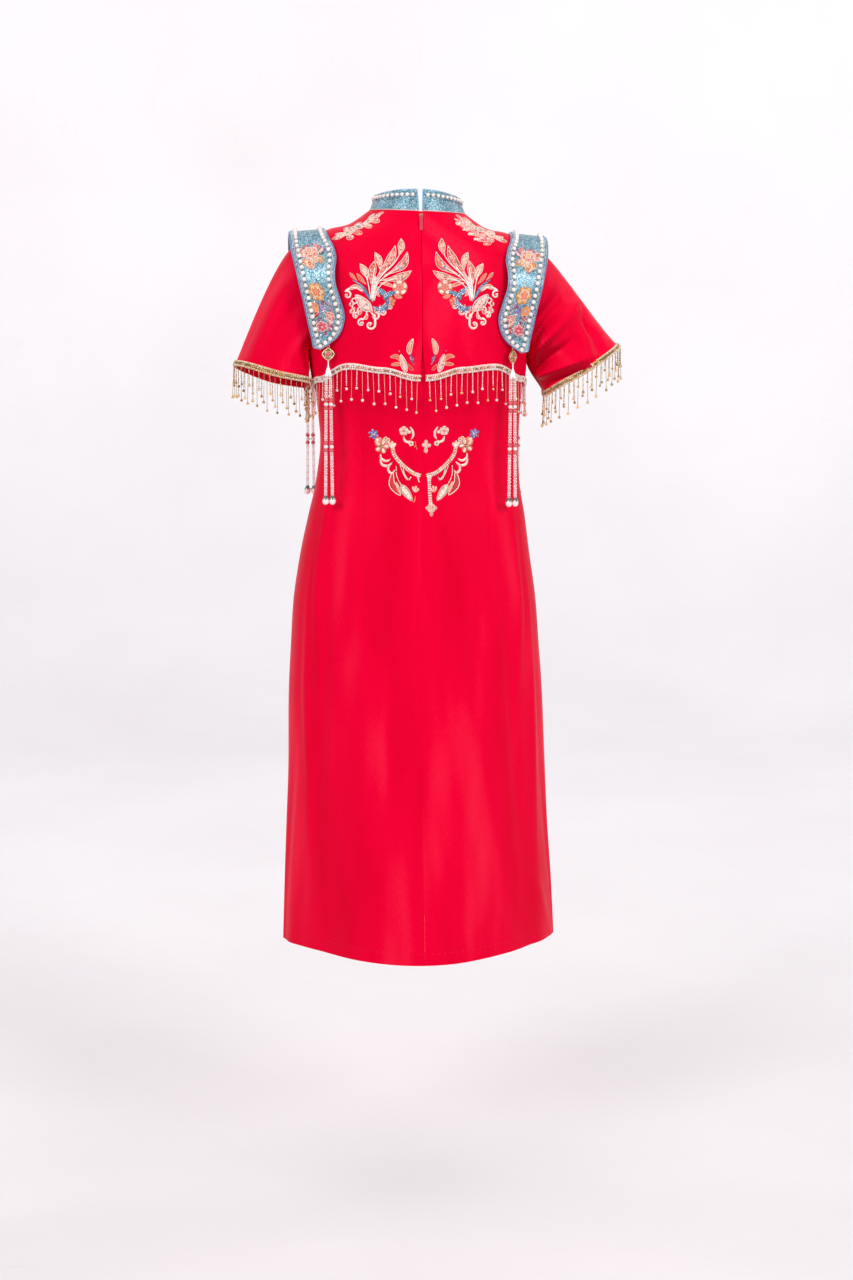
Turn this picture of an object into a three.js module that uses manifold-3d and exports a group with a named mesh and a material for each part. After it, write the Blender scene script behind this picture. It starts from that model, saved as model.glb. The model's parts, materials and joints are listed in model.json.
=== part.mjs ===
// A bride's red satin sheath dress with a short overlay, short sleeves, a stand collar open at the
// back, stiff shoulder bands, bead fringe and tassels. Millimetres, +Z up, front towards -Y, wearer's
// left towards +X. The origin is the middle of the neck at the height of the side neck points.
import * as THREE from 'three';
import { mergeVertices } from 'three/addons/utils/BufferGeometryUtils.js';
import Module from 'manifold-3d';

// Cloth and seams
const dressThickness = 1.3;
const overlayThickness = 1.3;
const overlayLift = 0.7; // from the dress to the inside of the overlay
const overlayFace = overlayLift + overlayThickness;
const seamGap = 0.2; // each panel keeps this clear of the seam line
const seat = 0.3; // gap of a piece to what carries it

// Levels of the cloth from the neck seam (0) to the hem. side, back, front: reach from the middle of
// the section; zSide, zBack, zFront: height of the level there; round: 2 is an ellipse, more is squarer;
// crease: 1 is a full crease at the side seams; shift: sideways lean; tilt: rise for each mm to the left.
const level = (side, back, front, zSide, zBack, zFront, round, crease, shift, tilt) => (
  { side, back, front, zSide, zBack, zFront, round, crease, shift, tilt }
);
const levels = [
  level(70, 65, 61, 0, 4, -62, 2.0, 0, 0, 0.045),
  level(100, 71, 68, -20.5, -15, -74, 2.1, 0, 0, 0.034),
  level(130, 78, 76, -27.6, -32, -86, 2.2, 0, 0, 0.024),
  level(156, 85, 84, -39, -51, -100, 2.3, 0, 0, 0.016),
  level(172, 91, 92, -48, -70, -114, 2.4, 0, 0, 0.012),
  level(172, 98, 102, -82, -97, -132, 2.4, 0, 0, 0.01),
  level(168, 103, 112, -116, -125, -151, 2.4, 0, 0, 0.008),
  level(165, 105, 120, -150, -155, -171, 2.35, 0, 0, 0.004),
  level(163, 104, 125, -188, -189, -195, 2.3, 0, 0, 0),
  level(160, 100, 126, -227, -227, -227, 2.25, 0, -1, 0),
  level(156, 93, 121, -262, -262, -262, 2.2, 0, -2, 0),
  level(152, 84, 109, -300, -300, -300, 2.2, 0, -2.5, 0),
  level(149.5, 78, 97, -345, -345, -345, 2.2, 0, -2.5, 0),
  level(155, 84, 95, -405, -405, -405, 2.2, 0, 0, 0),
  level(164, 96, 98, -450, -450, -450, 2.2, 0, 1.5, 0),
  level(174, 106, 101, -507, -507, -507, 2.2, 0, 4, 0),
  level(184.5, 112, 104, -577, -577, -577, 2.2, 0, 4.5, 0),
  level(190, 114, 106, -651, -651, -651, 2.15, 0, 4, 0),
  level(195, 116, 108, -727, -727, -727, 2.05, 0.05, 3, 0),
  level(198.5, 120, 112, -840, -840, -840, 2.0, 0.25, 1, 0),
  level(203, 126, 117, -936, -937, -936, 2.0, 0.45, 0.5, 0),
  level(208, 133, 123, -1025, -1028, -1026, 2.0, 0.6, -1, 0),
  level(212, 140, 128, -1114, -1121, -1117, 2.0, 0.75, -2, 0),
];
const hemLevel = levels.length - 1;
const shoulderTip = 4; // level of the outer end of the shoulder seam
const underarm = 8.75; // level of the lowest point of the armhole

// Armhole cut: how far it bites into the back and the front at its middle, in degrees round the body
const armholeBack = 27;
const armholeFront = 32;

// Soft upright folds of the skirt. around: degrees (0 left side, 90 centre back); top, bottom: heights;
// wide: degrees; high: how far it stands out.
const skirtFolds = [
  { around: 22, top: -470, bottom: -1120, wide: 7, high: 3.5 },
  { around: 48, top: -620, bottom: -1120, wide: 9, high: -3 },
  { around: 118, top: -700, bottom: -1120, wide: 10, high: -2.5 },
  { around: 151, top: -480, bottom: -1120, wide: 8, high: 3.5 },
  { around: 205, top: -560, bottom: -1120, wide: 9, high: 3 },
  { around: 238, top: -640, bottom: -1120, wide: 10, high: -3 },
  { around: 300, top: -600, bottom: -1120, wide: 10, high: -3 },
  { around: 334, top: -540, bottom: -1120, wide: 8, high: 3 },
];

const radians = (degrees) => degrees * Math.PI / 180;
const mix = (a, b, t) => a + (b - a) * t;
const smooth = (t) => { const c = Math.min(Math.max(t, 0), 1); return c * c * (3 - 2 * c); };

// One column of the level table at a level between its rows, as a smooth curve through them
function levelValue(column, level) {
  const last = levels.length - 1;
  const i = Math.min(Math.max(Math.floor(level), 0), last - 1);
  const t = level - i;
  const at = (k) => levels[Math.min(Math.max(k, 0), last)][column];
  const slopeIn = (at(i + 1) - at(i - 1)) / 2;
  const slopeOut = (at(i + 2) - at(i)) / 2;
  const t2 = t * t;
  const t3 = t2 * t;
  return at(i) * (2 * t3 - 3 * t2 + 1) + slopeIn * (t3 - 2 * t2 + t)
    + at(i + 1) * (3 * t2 - 2 * t3) + slopeOut * (t3 - t2);
}

// The bare point of the cloth's surface at a level and an angle round the body
function surfacePoint(level, angle) {
  const power = 2 / levelValue('round', level);
  const deepPower = mix(power, 2, levelValue('crease', level));
  const c = Math.cos(radians(angle));
  const s = Math.sin(radians(angle));
  const across = Math.sign(c) * Math.abs(c) ** power;
  const deep = Math.sign(s) * Math.abs(s) ** deepPower;
  const depth = s >= 0 ? levelValue('back', level) : levelValue('front', level);
  const zEnd = s >= 0 ? levelValue('zBack', level) : levelValue('zFront', level);
  const zSide = levelValue('zSide', level);
  const point = new THREE.Vector3(
    levelValue('side', level) * across + levelValue('shift', level),
    depth * deep,
    mix(zSide, zEnd, Math.abs(deep) ** 1.5),
  );
  point.z += point.x * levelValue('tilt', level);
  let swell = 0;
  for (const fold of skirtFolds) {
    const turn = ((angle - fold.around + 540) % 360) - 180;
    const grown = smooth((fold.top - point.z) / (fold.top - fold.bottom));
    swell += fold.high * grown * Math.exp(-((turn / fold.wide) ** 2));
  }
  if (swell !== 0) {
    const out = new THREE.Vector3(point.x, point.y, 0).normalize();
    point.addScaledVector(out, swell);
  }
  return point;
}

function surfaceNormal(level, angle) {
  const step = 0.04;
  const turn = 1.5;
  const up = surfacePoint(Math.max(level - step, 0), angle).sub(surfacePoint(level + step, angle));
  const round = surfacePoint(level, angle + turn).sub(surfacePoint(level, angle - turn));
  return round.cross(up).normalize();
}

function clothPoint(level, angle, lift) {
  return surfacePoint(level, angle).addScaledVector(surfaceNormal(level, angle), lift);
}

// Level at a height, where the levels lie flat or nearly so
function levelAtHeight(z, column = 'zBack') {
  let low = 0;
  let high = hemLevel;
  for (let i = 0; i < 30; i += 1) {
    const middle = (low + high) / 2;
    if (levelValue(column, middle) > z) low = middle;
    else high = middle;
  }
  return (low + high) / 2;
}

// Point on the back of a layer of cloth that shows at x and z, moved out by lift
function pointOnBack(cloth, x, z, lift) {
  let low = 0;
  let high = hemLevel;
  let angle = 90;
  for (let i = 0; i < 34; i += 1) {
    const level = (low + high) / 2;
    const side = levelValue('side', level);
    const reach = Math.min(Math.abs(x - levelValue('shift', level)) / side, 0.999);
    const bend = Math.acos(reach ** (levelValue('round', level) / 2)) * 180 / Math.PI;
    angle = x - levelValue('shift', level) >= 0 ? bend : 180 - bend;
    if (surfacePoint(level, angle).z > z) low = level;
    else high = level;
  }
  return cloth((low + high) / 2, angle, lift);
}

// --- Closed solids from grids of points ---

function solidFromFaces(points, faces) {
  let volume = 0;
  for (const [a, b, c] of faces) {
    volume += points[a].dot(new THREE.Vector3().crossVectors(points[b], points[c]));
  }
  const geometry = new THREE.BufferGeometry();
  const positions = [];
  for (const [a, b, c] of faces) {
    for (const k of volume < 0 ? [a, c, b] : [a, b, c]) positions.push(...points[k].toArray());
  }
  geometry.setAttribute('position', new THREE.Float32BufferAttribute(positions, 3));
  const merged = mergeVertices(geometry, 1e-4);
  merged.computeVertexNormals();
  return merged;
}

// A wall between two grids of the same size; a wrapped grid closes on itself round its columns
function wallBetween(outer, inner, wrapped = false) {
  const rows = outer.length;
  const columns = outer[0].length;
  const points = [...outer.flat(), ...inner.flat()];
  const behind = rows * columns;
  const faces = [];
  const quad = (a, b, c, d) => faces.push([a, b, c], [a, c, d]);
  const spans = wrapped ? columns : columns - 1;
  for (let i = 0; i < rows - 1; i += 1) {
    for (let j = 0; j < spans; j += 1) {
      const next = (j + 1) % columns;
      const a = i * columns + j;
      const b = i * columns + next;
      const c = b + columns;
      const d = a + columns;
      quad(a, b, c, d);
      quad(a + behind, d + behind, c + behind, b + behind); // the same diagonal, so walls nest
    }
  }
  const rim = (a, b) => quad(b, a, a + behind, b + behind);
  for (let j = 0; j < spans; j += 1) {
    const next = (j + 1) % columns;
    rim(j, next);
    rim((rows - 1) * columns + next, (rows - 1) * columns + j);
  }
  if (!wrapped) {
    for (let i = 0; i < rows - 1; i += 1) {
      rim((i + 1) * columns, i * columns);
      rim(i * columns + columns - 1, (i + 1) * columns + columns - 1);
    }
  }
  return solidFromFaces(points, faces);
}

// A plate with a star-shaped outline: place(u, w, lift) gives the point on the carrying surface
function plateOn(place, outline, low, high, rings = 2) {
  const spokes = outline.length;
  const points = [];
  for (const lift of [high, low]) {
    points.push(place(0, 0, lift));
    for (let r = 1; r <= rings; r += 1) {
      for (const [u, w] of outline) points.push(place(u * r / rings, w * r / rings, lift));
    }
  }
  const behind = 1 + rings * spokes;
  const at = (r, s) => 1 + (r - 1) * spokes + (s % spokes);
  const faces = [];
  const both = (a, b, c) => faces.push([a, b, c], [a + behind, c + behind, b + behind]);
  for (let s = 0; s < spokes; s += 1) {
    both(0, at(1, s), at(1, s + 1));
    for (let r = 1; r < rings; r += 1) {
      both(at(r, s), at(r + 1, s), at(r + 1, s + 1));
      both(at(r, s), at(r + 1, s + 1), at(r, s + 1));
    }
    const a = at(rings, s);
    const b = at(rings, s + 1);
    faces.push([b, a, a + behind], [b, a + behind, b + behind]);
  }
  return solidFromFaces(points, faces);
}

// --- Pieces joined from several solids ---

const wasm = await Module();
wasm.setup();

function toManifold(geometry) {
  const bare = geometry.clone();
  bare.deleteAttribute('normal');
  bare.deleteAttribute('uv');
  const merged = mergeVertices(bare, 1e-4);
  const vertProperties = merged.getAttribute('position').array;
  return new wasm.Manifold(new wasm.Mesh({ numProp: 3, vertProperties, triVerts: merged.index.array }));
}

function joined(...geometries) {
  const solid = geometries.map(toManifold).reduce((all, next) => all.add(next));
  const { vertProperties, triVerts } = solid.getMesh();
  const geometry = new THREE.BufferGeometry();
  geometry.setAttribute('position', new THREE.BufferAttribute(vertProperties, 3));
  geometry.setIndex(new THREE.BufferAttribute(triVerts, 1));
  geometry.computeVertexNormals();
  return geometry;
}

// --- Colours and finishes ---

const finishes = {
  satin: { color: 0xd6061f, roughness: 0.42, metalness: 0 },
  glitter: { color: 0x4f9fc0, roughness: 0.35, metalness: 0.35 },
  braid: { color: 0xd8bd8a, roughness: 0.4, metalness: 0.4 },
  fringe: { color: 0xd9b36a, roughness: 0.3, metalness: 0.7 },
  beadwork: { color: 0xe8b08c, roughness: 0.45, metalness: 0.1 },
  flowers: { color: 0xd9583f, roughness: 0.5, metalness: 0.05 },
  gold: { color: 0xd0a24a, roughness: 0.25, metalness: 1 },
  pearl: { color: 0xf2e6dc, roughness: 0.25, metalness: 0 },
  tape: { color: 0xa80a1c, roughness: 0.7, metalness: 0 },
  lacquer: { color: 0xb8203a, roughness: 0.4, metalness: 0 },
  enamel: { color: 0xd0182c, roughness: 0.3, metalness: 0.2 },
};

const dress = new THREE.Group();

function addPiece(name, geometry, finish, move = null) {
  const mesh = new THREE.Mesh(geometry, new THREE.MeshStandardMaterial(finishes[finish]));
  mesh.name = name;
  if (move) mesh.position.set(...move);
  dress.add(mesh);
  return mesh;
}

// --- Body panels ---

const shoulderRows = [0.03, 0.7, 1.5, 2.3, 3.1, 3.6, shoulderTip];
const armholeRows = [4.08, 4.25, 4.6, 5.1, 5.8, 6.6, 7.4, 8.1, 8.5, underarm];
const bodiceRows = [...shoulderRows, ...armholeRows];
const waistRows = [9.6, 10.4, 11.2, 11.8, 12.4, 13, 13.7, 14.5];
const skirtRows = [15.3, 16.2, 17.3, 18.6, 19.8, 21, hemLevel];

// Angle from the side seam to the edge of the armhole
function armholeAngle(level, widest) {
  if (level <= shoulderTip || level >= underarm) return 0;
  const t = (level - shoulderTip) / (underarm - shoulderTip);
  return widest * Math.sin(Math.PI * t ** 0.85) ** 0.7;
}

// Each panel: where its two upright edges lie round the body, its columns, its step off the seams, and
// which half of the back it is
const panels = {
  back_left: {
    start: (v) => armholeAngle(v, armholeBack),
    end: () => 90,
    columns: 8,
    off: [1, 1],
    half: 1,
  },
  back_right: {
    start: () => 90,
    end: (v) => 180 - armholeAngle(v, armholeBack),
    columns: 8,
    off: [-1, 1],
    half: -1,
  },
  front: {
    start: (v) => 180 + armholeAngle(v, armholeFront),
    end: (v) => 360 - armholeAngle(v, armholeFront),
    columns: 14,
    off: [0, -1],
  },
};

function panelGrid(panel, rows, lift) {
  return rows.map((row) => {
    const line = [];
    for (let j = 0; j <= panel.columns; j += 1) {
      const angle = mix(panel.start(row), panel.end(row), j / panel.columns);
      line.push(clothPoint(row, angle, lift));
    }
    return line;
  });
}

for (const [name, panel] of Object.entries(panels)) {
  const rows = [...bodiceRows, ...waistRows, ...skirtRows];
  const outer = panelGrid(panel, rows, 0);
  const inner = panelGrid(panel, rows, -dressThickness);
  const off = [panel.off[0] * seamGap, panel.off[1] * seamGap, 0];
  addPiece(`dress_${name}`, wallBetween(outer, inner), 'satin', off);
}

// --- Overlay: short, free at its wavy hem, parted a little at the centre back ---

// Hem height of the overlay round the body. Each half of the back is one arch.
const overlayHem = [
  { around: 0, z: -258 }, { around: 22, z: -246 }, { around: 52, z: -224 }, { around: 72, z: -229 },
  { around: 90, z: -240 }, { around: 108, z: -229 }, { around: 128, z: -226 }, { around: 158, z: -247 },
  { around: 180, z: -258 }, { around: 205, z: -256 }, { around: 235, z: -240 }, { around: 270, z: -262 },
  { around: 305, z: -240 }, { around: 335, z: -256 }, { around: 360, z: -258 },
];
const overlayFlare = 3; // how far the free hem stands off the dress
const overlayParting = 4; // half the gap of the centre back edges at the hem
const overlayLowRows = [0.5, 1]; // from the underarm to the hem

function overlayHemLevel(angle) {
  let i = 0;
  while (i < overlayHem.length - 2 && angle > overlayHem[i + 1].around) i += 1;
  const a = overlayHem[i];
  const b = overlayHem[i + 1];
  const t = (1 - Math.cos(Math.PI * (angle - a.around) / (b.around - a.around))) / 2;
  return levelAtHeight(mix(a.z, b.z, t), 'zSide');
}

function overlayOut(level, angle) {
  const loose = smooth((level - 7.2) / 2.6);
  const ripple = 0.6 + 0.4 * Math.cos(radians(angle * 4));
  const besideArm = smooth(Math.abs(Math.sin(radians(angle))) / 0.45);
  return overlayFlare * loose * ripple * besideArm;
}

// half: which half of the back the point belongs to, for the parting at the centre
function overlayPoint(level, angle, lift, half = angle < 90 ? 1 : -1) {
  const point = clothPoint(level, angle, lift + overlayOut(level, angle));
  if (angle > 60 && angle < 120) {
    const beside = smooth(1 - Math.abs(angle - 90) / 30);
    point.x += half * overlayParting * smooth((level - 7.9) / 1.4) * beside;
  }
  return point;
}

function overlayGrid(panel, lift) {
  const rows = bodiceRows.map((row) => ({ level: row, low: 0 }));
  for (const low of overlayLowRows) rows.push({ level: underarm, low });
  return rows.map(({ level, low }) => {
    const line = [];
    for (let j = 0; j <= panel.columns; j += 1) {
      const t = j / panel.columns;
      const angle = mix(panel.start(level), panel.end(level), t);
      const depth = low ? mix(level, overlayHemLevel(angle), low) : level;
      line.push(overlayPoint(depth, angle, lift, panel.half));
    }
    return line;
  });
}

for (const [name, panel] of Object.entries(panels)) {
  const outer = overlayGrid(panel, overlayFace);
  const inner = overlayGrid(panel, overlayLift);
  const off = [panel.off[0] * seamGap, panel.off[1] * seamGap, 0];
  addPiece(`overlay_${name}`, wallBetween(outer, inner), 'satin', off);
}

// --- Sleeves ---

const sleeveThickness = 1.3;
const sleeveColumns = 24;
const sleeveRows = 9;

// Cuffs: outer and inner ends of the cuff line (x, z), depth either side, middle, and how much lower the
// front edge lies for each mm of depth. headOut, headUp: pull of the sleeve head; under: the same under the
// arm; hang: pull at the cuff; hug: how far the inner side wraps round the body, before and behind.
const sleeves = {
  left: {
    hand: 1, outer: [275, -226], inner: [169, -263], deep: 58, middle: -6, frontLow: 0.17,
    headOut: 85, headUp: 24, hangOut: 40, hangDown: 85,
    underOut: 5, underUp: -45, underHangOut: 3, underHangDown: 30, hug: 24,
    folds: [
      { around: 62, along: 0.35, lean: 25, wide: 10, long: 45, high: 3 },
      { around: 100, along: 0.55, lean: 15, wide: 12, long: 60, high: -3 },
      { around: 130, along: 0.5, lean: -10, wide: 11, long: 55, high: 3.5 },
      { around: 245, along: 0.5, lean: -15, wide: 12, long: 55, high: 3 },
    ],
  },
  right: {
    hand: -1, outer: [306, -200], inner: [192, -273], deep: 58, middle: 2, frontLow: 0.05,
    headOut: 72, headUp: -12, hangOut: 85, hangDown: 60,
    underOut: 2, underUp: -62, underHangOut: 10, underHangDown: 48, hug: 4,
    folds: [
      { around: 35, along: 0.45, lean: 50, wide: 10, long: 60, high: -4 },
      { around: 62, along: 0.5, lean: 48, wide: 10, long: 70, high: 4 },
      { around: 92, along: 0.5, lean: 42, wide: 10, long: 75, high: -4.5 },
      { around: 122, along: 0.55, lean: 35, wide: 10, long: 70, high: 4.5 },
      { around: 150, along: 0.4, lean: 25, wide: 9, long: 50, high: -4 },
      { around: 240, along: 0.5, lean: -30, wide: 12, long: 60, high: 3.5 },
    ],
  },
};

// Points round the armhole edge of the overlay, evenly spaced: top, down the back, up the front
function armholeLoop(hand) {
  const fine = [];
  const steps = 120;
  const levelSpan = underarm - shoulderTip;
  for (let i = 0; i <= steps; i += 1) {
    const level = shoulderTip + levelSpan * (1 - Math.cos(Math.PI * i / steps)) / 2;
    fine.push({ level, angle: armholeAngle(level, armholeBack) });
  }
  for (let i = steps - 1; i > 0; i -= 1) {
    const level = shoulderTip + levelSpan * (1 - Math.cos(Math.PI * i / steps)) / 2;
    fine.push({ level, angle: 360 - armholeAngle(level, armholeFront) });
  }
  const place = ({ level, angle }) => clothPoint(level, hand > 0 ? angle : 180 - angle, overlayFace);
  const points = fine.map(place);
  const lengths = [0];
  for (let i = 1; i <= points.length; i += 1) {
    lengths.push(lengths[i - 1] + points[i % points.length].distanceTo(points[i - 1]));
  }
  const total = lengths[points.length];
  const loop = [];
  for (let j = 0; j < sleeveColumns; j += 1) {
    const wanted = total * j / sleeveColumns;
    let i = 0;
    while (lengths[i + 1] < wanted) i += 1;
    const t = (wanted - lengths[i]) / (lengths[i + 1] - lengths[i]);
    loop.push(points[i].clone().lerp(points[(i + 1) % points.length], t));
  }
  return loop;
}

function sleeveSurface(spec) {
  const loop = armholeLoop(spec.hand);
  const centre = new THREE.Vector3();
  for (const p of loop) centre.addScaledVector(p, 1 / loop.length);
  const [outerX, outerZ] = spec.outer;
  const [innerX, innerZ] = spec.inner;
  const rootGap = 1.4; // clear of the armhole edge
  const grid = [];
  for (let i = 0; i <= sleeveRows; i += 1) {
    const t = i / sleeveRows;
    const row = [];
    for (let j = 0; j < sleeveColumns; j += 1) {
      const around = 360 * j / sleeveColumns;
      const top = (1 + Math.cos(radians(around))) / 2;
      const back = Math.sin(radians(around));
      const start = loop[j].clone();
      start.x += spec.hand * rootGap;
      const y = spec.middle + spec.deep * back;
      const hug = spec.hug * Math.exp(-(((Math.abs(around - 180) - 52) / 22) ** 2));
      const end = new THREE.Vector3(
        spec.hand * (mix(innerX, outerX, top) - hug),
        y,
        mix(innerZ, outerZ, top) + spec.frontLow * (y - spec.middle),
      );
      const pullOut = mix(spec.underOut, spec.headOut, top ** 0.8);
      const pullUp = mix(spec.underUp, spec.headUp, top);
      const startPull = new THREE.Vector3(spec.hand * pullOut, 10 * back, pullUp);
      const endPull = new THREE.Vector3(
        spec.hand * mix(spec.underHangOut, spec.hangOut, top),
        0,
        -mix(spec.underHangDown, spec.hangDown, top),
      );
      const t2 = t * t;
      const t3 = t2 * t;
      const point = start.multiplyScalar(2 * t3 - 3 * t2 + 1)
        .addScaledVector(startPull, t3 - 2 * t2 + t)
        .addScaledVector(end, 3 * t2 - 2 * t3)
        .addScaledVector(endPull, t3 - t2);
      row.push(point);
    }
    grid.push(row);
  }
  return grid;
}

// Outward normals of a wrapped grid
function gridNormals(grid, hand) {
  const rows = grid.length;
  const columns = grid[0].length;
  return grid.map((row, i) => row.map((point, j) => {
    const round = row[(j + 1) % columns].clone().sub(row[(j + columns - 1) % columns]);
    const along = grid[Math.min(i + 1, rows - 1)][j].clone().sub(grid[Math.max(i - 1, 0)][j]);
    return along.cross(round).multiplyScalar(hand).normalize();
  }));
}

function offsetGrid(grid, normals, lift) {
  return grid.map((row, i) => row.map((point, j) => point.clone().addScaledVector(normals[i][j], lift)));
}

// Folds of a sleeve: soft ridges and troughs laid out in mm round and along it
function foldSleeve(grid, normals, spec) {
  const girth = 380;
  const length = 150;
  return grid.map((row, i) => row.map((point, j) => {
    let swell = 0;
    const along = i / (grid.length - 1);
    for (const fold of spec.folds) {
      const across = (((j / row.length) * 360 - fold.around + 540) % 360 - 180) / 360 * girth;
      const down = (along - fold.along) * length;
      const lean = radians(fold.lean);
      const beside = across * Math.cos(lean) + down * Math.sin(lean);
      const ahead = -across * Math.sin(lean) + down * Math.cos(lean);
      swell += fold.high * Math.exp(-((beside / fold.wide) ** 2) - (ahead / fold.long) ** 2);
    }
    swell *= smooth(along / 0.25);
    return point.clone().addScaledVector(normals[i][j], swell);
  }));
}

const braidHeight = 8.5;
const braidThickness = 2.2;
const fringeReach = 48;
const fringeThickness = 2;
const fringeTop = 0.8; // below the cloth's edge
const braidSeat = 0.5; // from the cloth to the back of the braid
const fringeOut = 0.2; // the same for the fringe, which hangs below the edge

for (const [side, spec] of Object.entries(sleeves)) {
  const plain = sleeveSurface(spec);
  const outer = foldSleeve(plain, gridNormals(plain, spec.hand), spec);
  const normals = gridNormals(outer, spec.hand);
  const inner = offsetGrid(outer, normals, -sleeveThickness);
  addPiece(`sleeve_${side}`, wallBetween(outer, inner, true), 'satin');
  const edge = outer[sleeveRows];
  const before = outer[sleeveRows - 1];
  const out = normals[sleeveRows];
  const braid = (lift) => [0, 1].map((k) => edge.map((point, j) => {
    const inward = before[j].clone().sub(point).setLength(k ? 0.5 : braidHeight);
    return point.clone().add(inward).addScaledVector(out[j], lift);
  }));
  const braidWall = wallBetween(braid(braidSeat + braidThickness), braid(braidSeat), true);
  addPiece(`cuff_braid_${side}`, braidWall, 'braid');
  const fringe = (lift) => [fringeTop, fringeReach].map((drop) => edge.map((point, j) => {
    const flat = new THREE.Vector3(out[j].x, out[j].y, 0).normalize();
    const low = point.clone().addScaledVector(flat, lift);
    low.z -= drop;
    return low;
  }));
  const fringeWall = wallBetween(fringe(fringeOut + fringeThickness), fringe(fringeOut), true);
  addPiece(`cuff_fringe_${side}`, fringeWall, 'fringe');
}

// --- Braid and fringe along the overlay's hem ---

for (const [name, panel] of Object.entries(panels)) {
  const columns = panel.columns * 2;
  const off = [panel.off[0] * seamGap, panel.off[1] * seamGap, 0];
  const ends = [panel.start(underarm), panel.end(underarm)];
  const line = (place) => {
    const points = [];
    for (let j = 0; j <= columns; j += 1) points.push(place(mix(...ends, j / columns)));
    return points;
  };
  const hemPoint = (angle, up, lift) => {
    const level = overlayHemLevel(angle);
    const rise = up / (levelValue('zSide', level - 0.5) - levelValue('zSide', level + 0.5));
    return overlayPoint(level - rise, angle, overlayFace + lift, panel.half);
  };
  const braid = (lift) => [braidHeight, 0.5].map((up) => line((angle) => hemPoint(angle, up, lift)));
  const braidWall = wallBetween(braid(braidSeat + braidThickness), braid(braidSeat));
  addPiece(`hem_braid_${name}`, braidWall, 'braid', off);
  const fringe = (lift) => [fringeTop, fringeReach].map((drop) => line((angle) => {
    const point = hemPoint(angle, 0, 0);
    const out = surfaceNormal(overlayHemLevel(angle), angle).setZ(0).normalize();
    point.addScaledVector(out, lift);
    point.z -= drop;
    return point;
  }));
  const fringeWall = wallBetween(fringe(fringeOut + fringeThickness), fringe(fringeOut));
  addPiece(`hem_fringe_${name}`, fringeWall, 'fringe', off);
}

// --- Stand collar, open at the centre back ---

const collarThickness = 2.6;
const collarColumns = 30;
const collarTop = { side: 61.5, back: 57, front: 55, middle: -2, zSide: 23, zBack: 35.5, zFront: -31 };
const collarParting = { base: 3, top: 4.3 }; // half the gap at the centre back

function collarPoint(t, j, lift) {
  const s = j / collarColumns;
  const angle = 90 + 360 * s; // from the centre back round the wearer's right to the centre back
  const base = surfacePoint(0, angle);
  const normal = surfaceNormal(0, angle);
  const flat = new THREE.Vector3(normal.x, normal.y, 0).normalize();
  base.z += Math.max(normal.z, 0) * overlayFace + seat;
  const c = Math.cos(radians(angle));
  const d = Math.sin(radians(angle));
  const zEnd = d >= 0 ? collarTop.zBack : collarTop.zFront;
  const top = new THREE.Vector3(
    collarTop.side * c,
    collarTop.middle + (d >= 0 ? collarTop.back : collarTop.front) * d,
    mix(collarTop.zSide, zEnd, Math.abs(d) ** 1.5) + collarTop.side * c * levelValue('tilt', 0),
  );
  const point = base.lerp(top, t).addScaledVector(flat, lift);
  const parting = mix(collarParting.base, collarParting.top, t);
  const near = smooth(1 - Math.min(s, 1 - s) * 8);
  point.x += (s < 0.5 ? -1 : 1) * parting * near;
  return point;
}

const collarWall = (lift) => [0, 0.5, 1].map((t) => {
  const row = [];
  for (let j = 0; j <= collarColumns; j += 1) row.push(collarPoint(t, j, lift));
  return row;
});
const collarHalf = collarThickness / 2;
addPiece('collar', wallBetween(collarWall(collarHalf), collarWall(-collarHalf)), 'glitter');

// --- Stiff shoulder bands: each a strip bent over the shoulder, pointed at both ends ---

const bandThickness = 2.4;
// y, z: inner face of the band where it lies over the shoulder; inner, outer: its two edges
const bandRows = [
  { y: 78, z: -197.8, inner: 148, outer: 158 },
  { y: 81, z: -188, inner: 134, outer: 160 },
  { y: 84, z: -179, inner: 124, outer: 162 },
  { y: 87, z: -166, inner: 117, outer: 165 },
  { y: 89.5, z: -148, inner: 114, outer: 168.5 },
  { y: 90.5, z: -126, inner: 120, outer: 173 },
  { y: 89.5, z: -104, inner: 127, outer: 178 },
  { y: 86, z: -84, inner: 128, outer: 181.5 },
  { y: 79, z: -65.8, inner: 125.5, outer: 185 },
  { y: 68, z: -49.8, inner: 129, outer: 187.5 },
  { y: 53, z: -40.3, inner: 134, outer: 189.5 },
  { y: 36, z: -32.8, inner: 137, outer: 190.5 },
  { y: 18, z: -29.1, inner: 138, outer: 191 },
  { y: 0, z: -27.8, inner: 138, outer: 191 },
  { y: -18, z: -29.8, inner: 138, outer: 191 },
  { y: -38, z: -36.3, inner: 137, outer: 191 },
  { y: -56, z: -46.3, inner: 135, outer: 190.5 },
  { y: -71, z: -57.8, inner: 131, outer: 189.5 },
  { y: -83, z: -74, inner: 129, outer: 188 },
  { y: -92, z: -96, inner: 131, outer: 185.5 },
  { y: -98, z: -120, inner: 132, outer: 182 },
  { y: -101, z: -144, inner: 128, outer: 178.5 },
  { y: -102, z: -164, inner: 129, outer: 175.5 },
  { y: -101, z: -180, inner: 136, outer: 173 },
  { y: -99, z: -190, inner: 142, outer: 169.5 },
  { y: -97, z: -198, inner: 154, outer: 164 },
];
// How far the outer edge lies nearer the body for each mm across, on top of the shoulder and at the ends
const bandSlope = { top: 0.1, ends: 0.32 };
const bandTilt = 0.022; // the left band sits higher, as the left shoulder does
const bandColumns = 3;

// One row of the band table at a place between its rows
function bandRow(place) {
  const last = bandRows.length - 1;
  const i = Math.min(Math.max(Math.floor(place), 0), last - 1);
  const row = {};
  for (const column of Object.keys(bandRows[i])) {
    row[column] = mix(bandRows[i][column], bandRows[i + 1][column], Math.min(place, last) - i);
  }
  return row;
}

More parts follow.
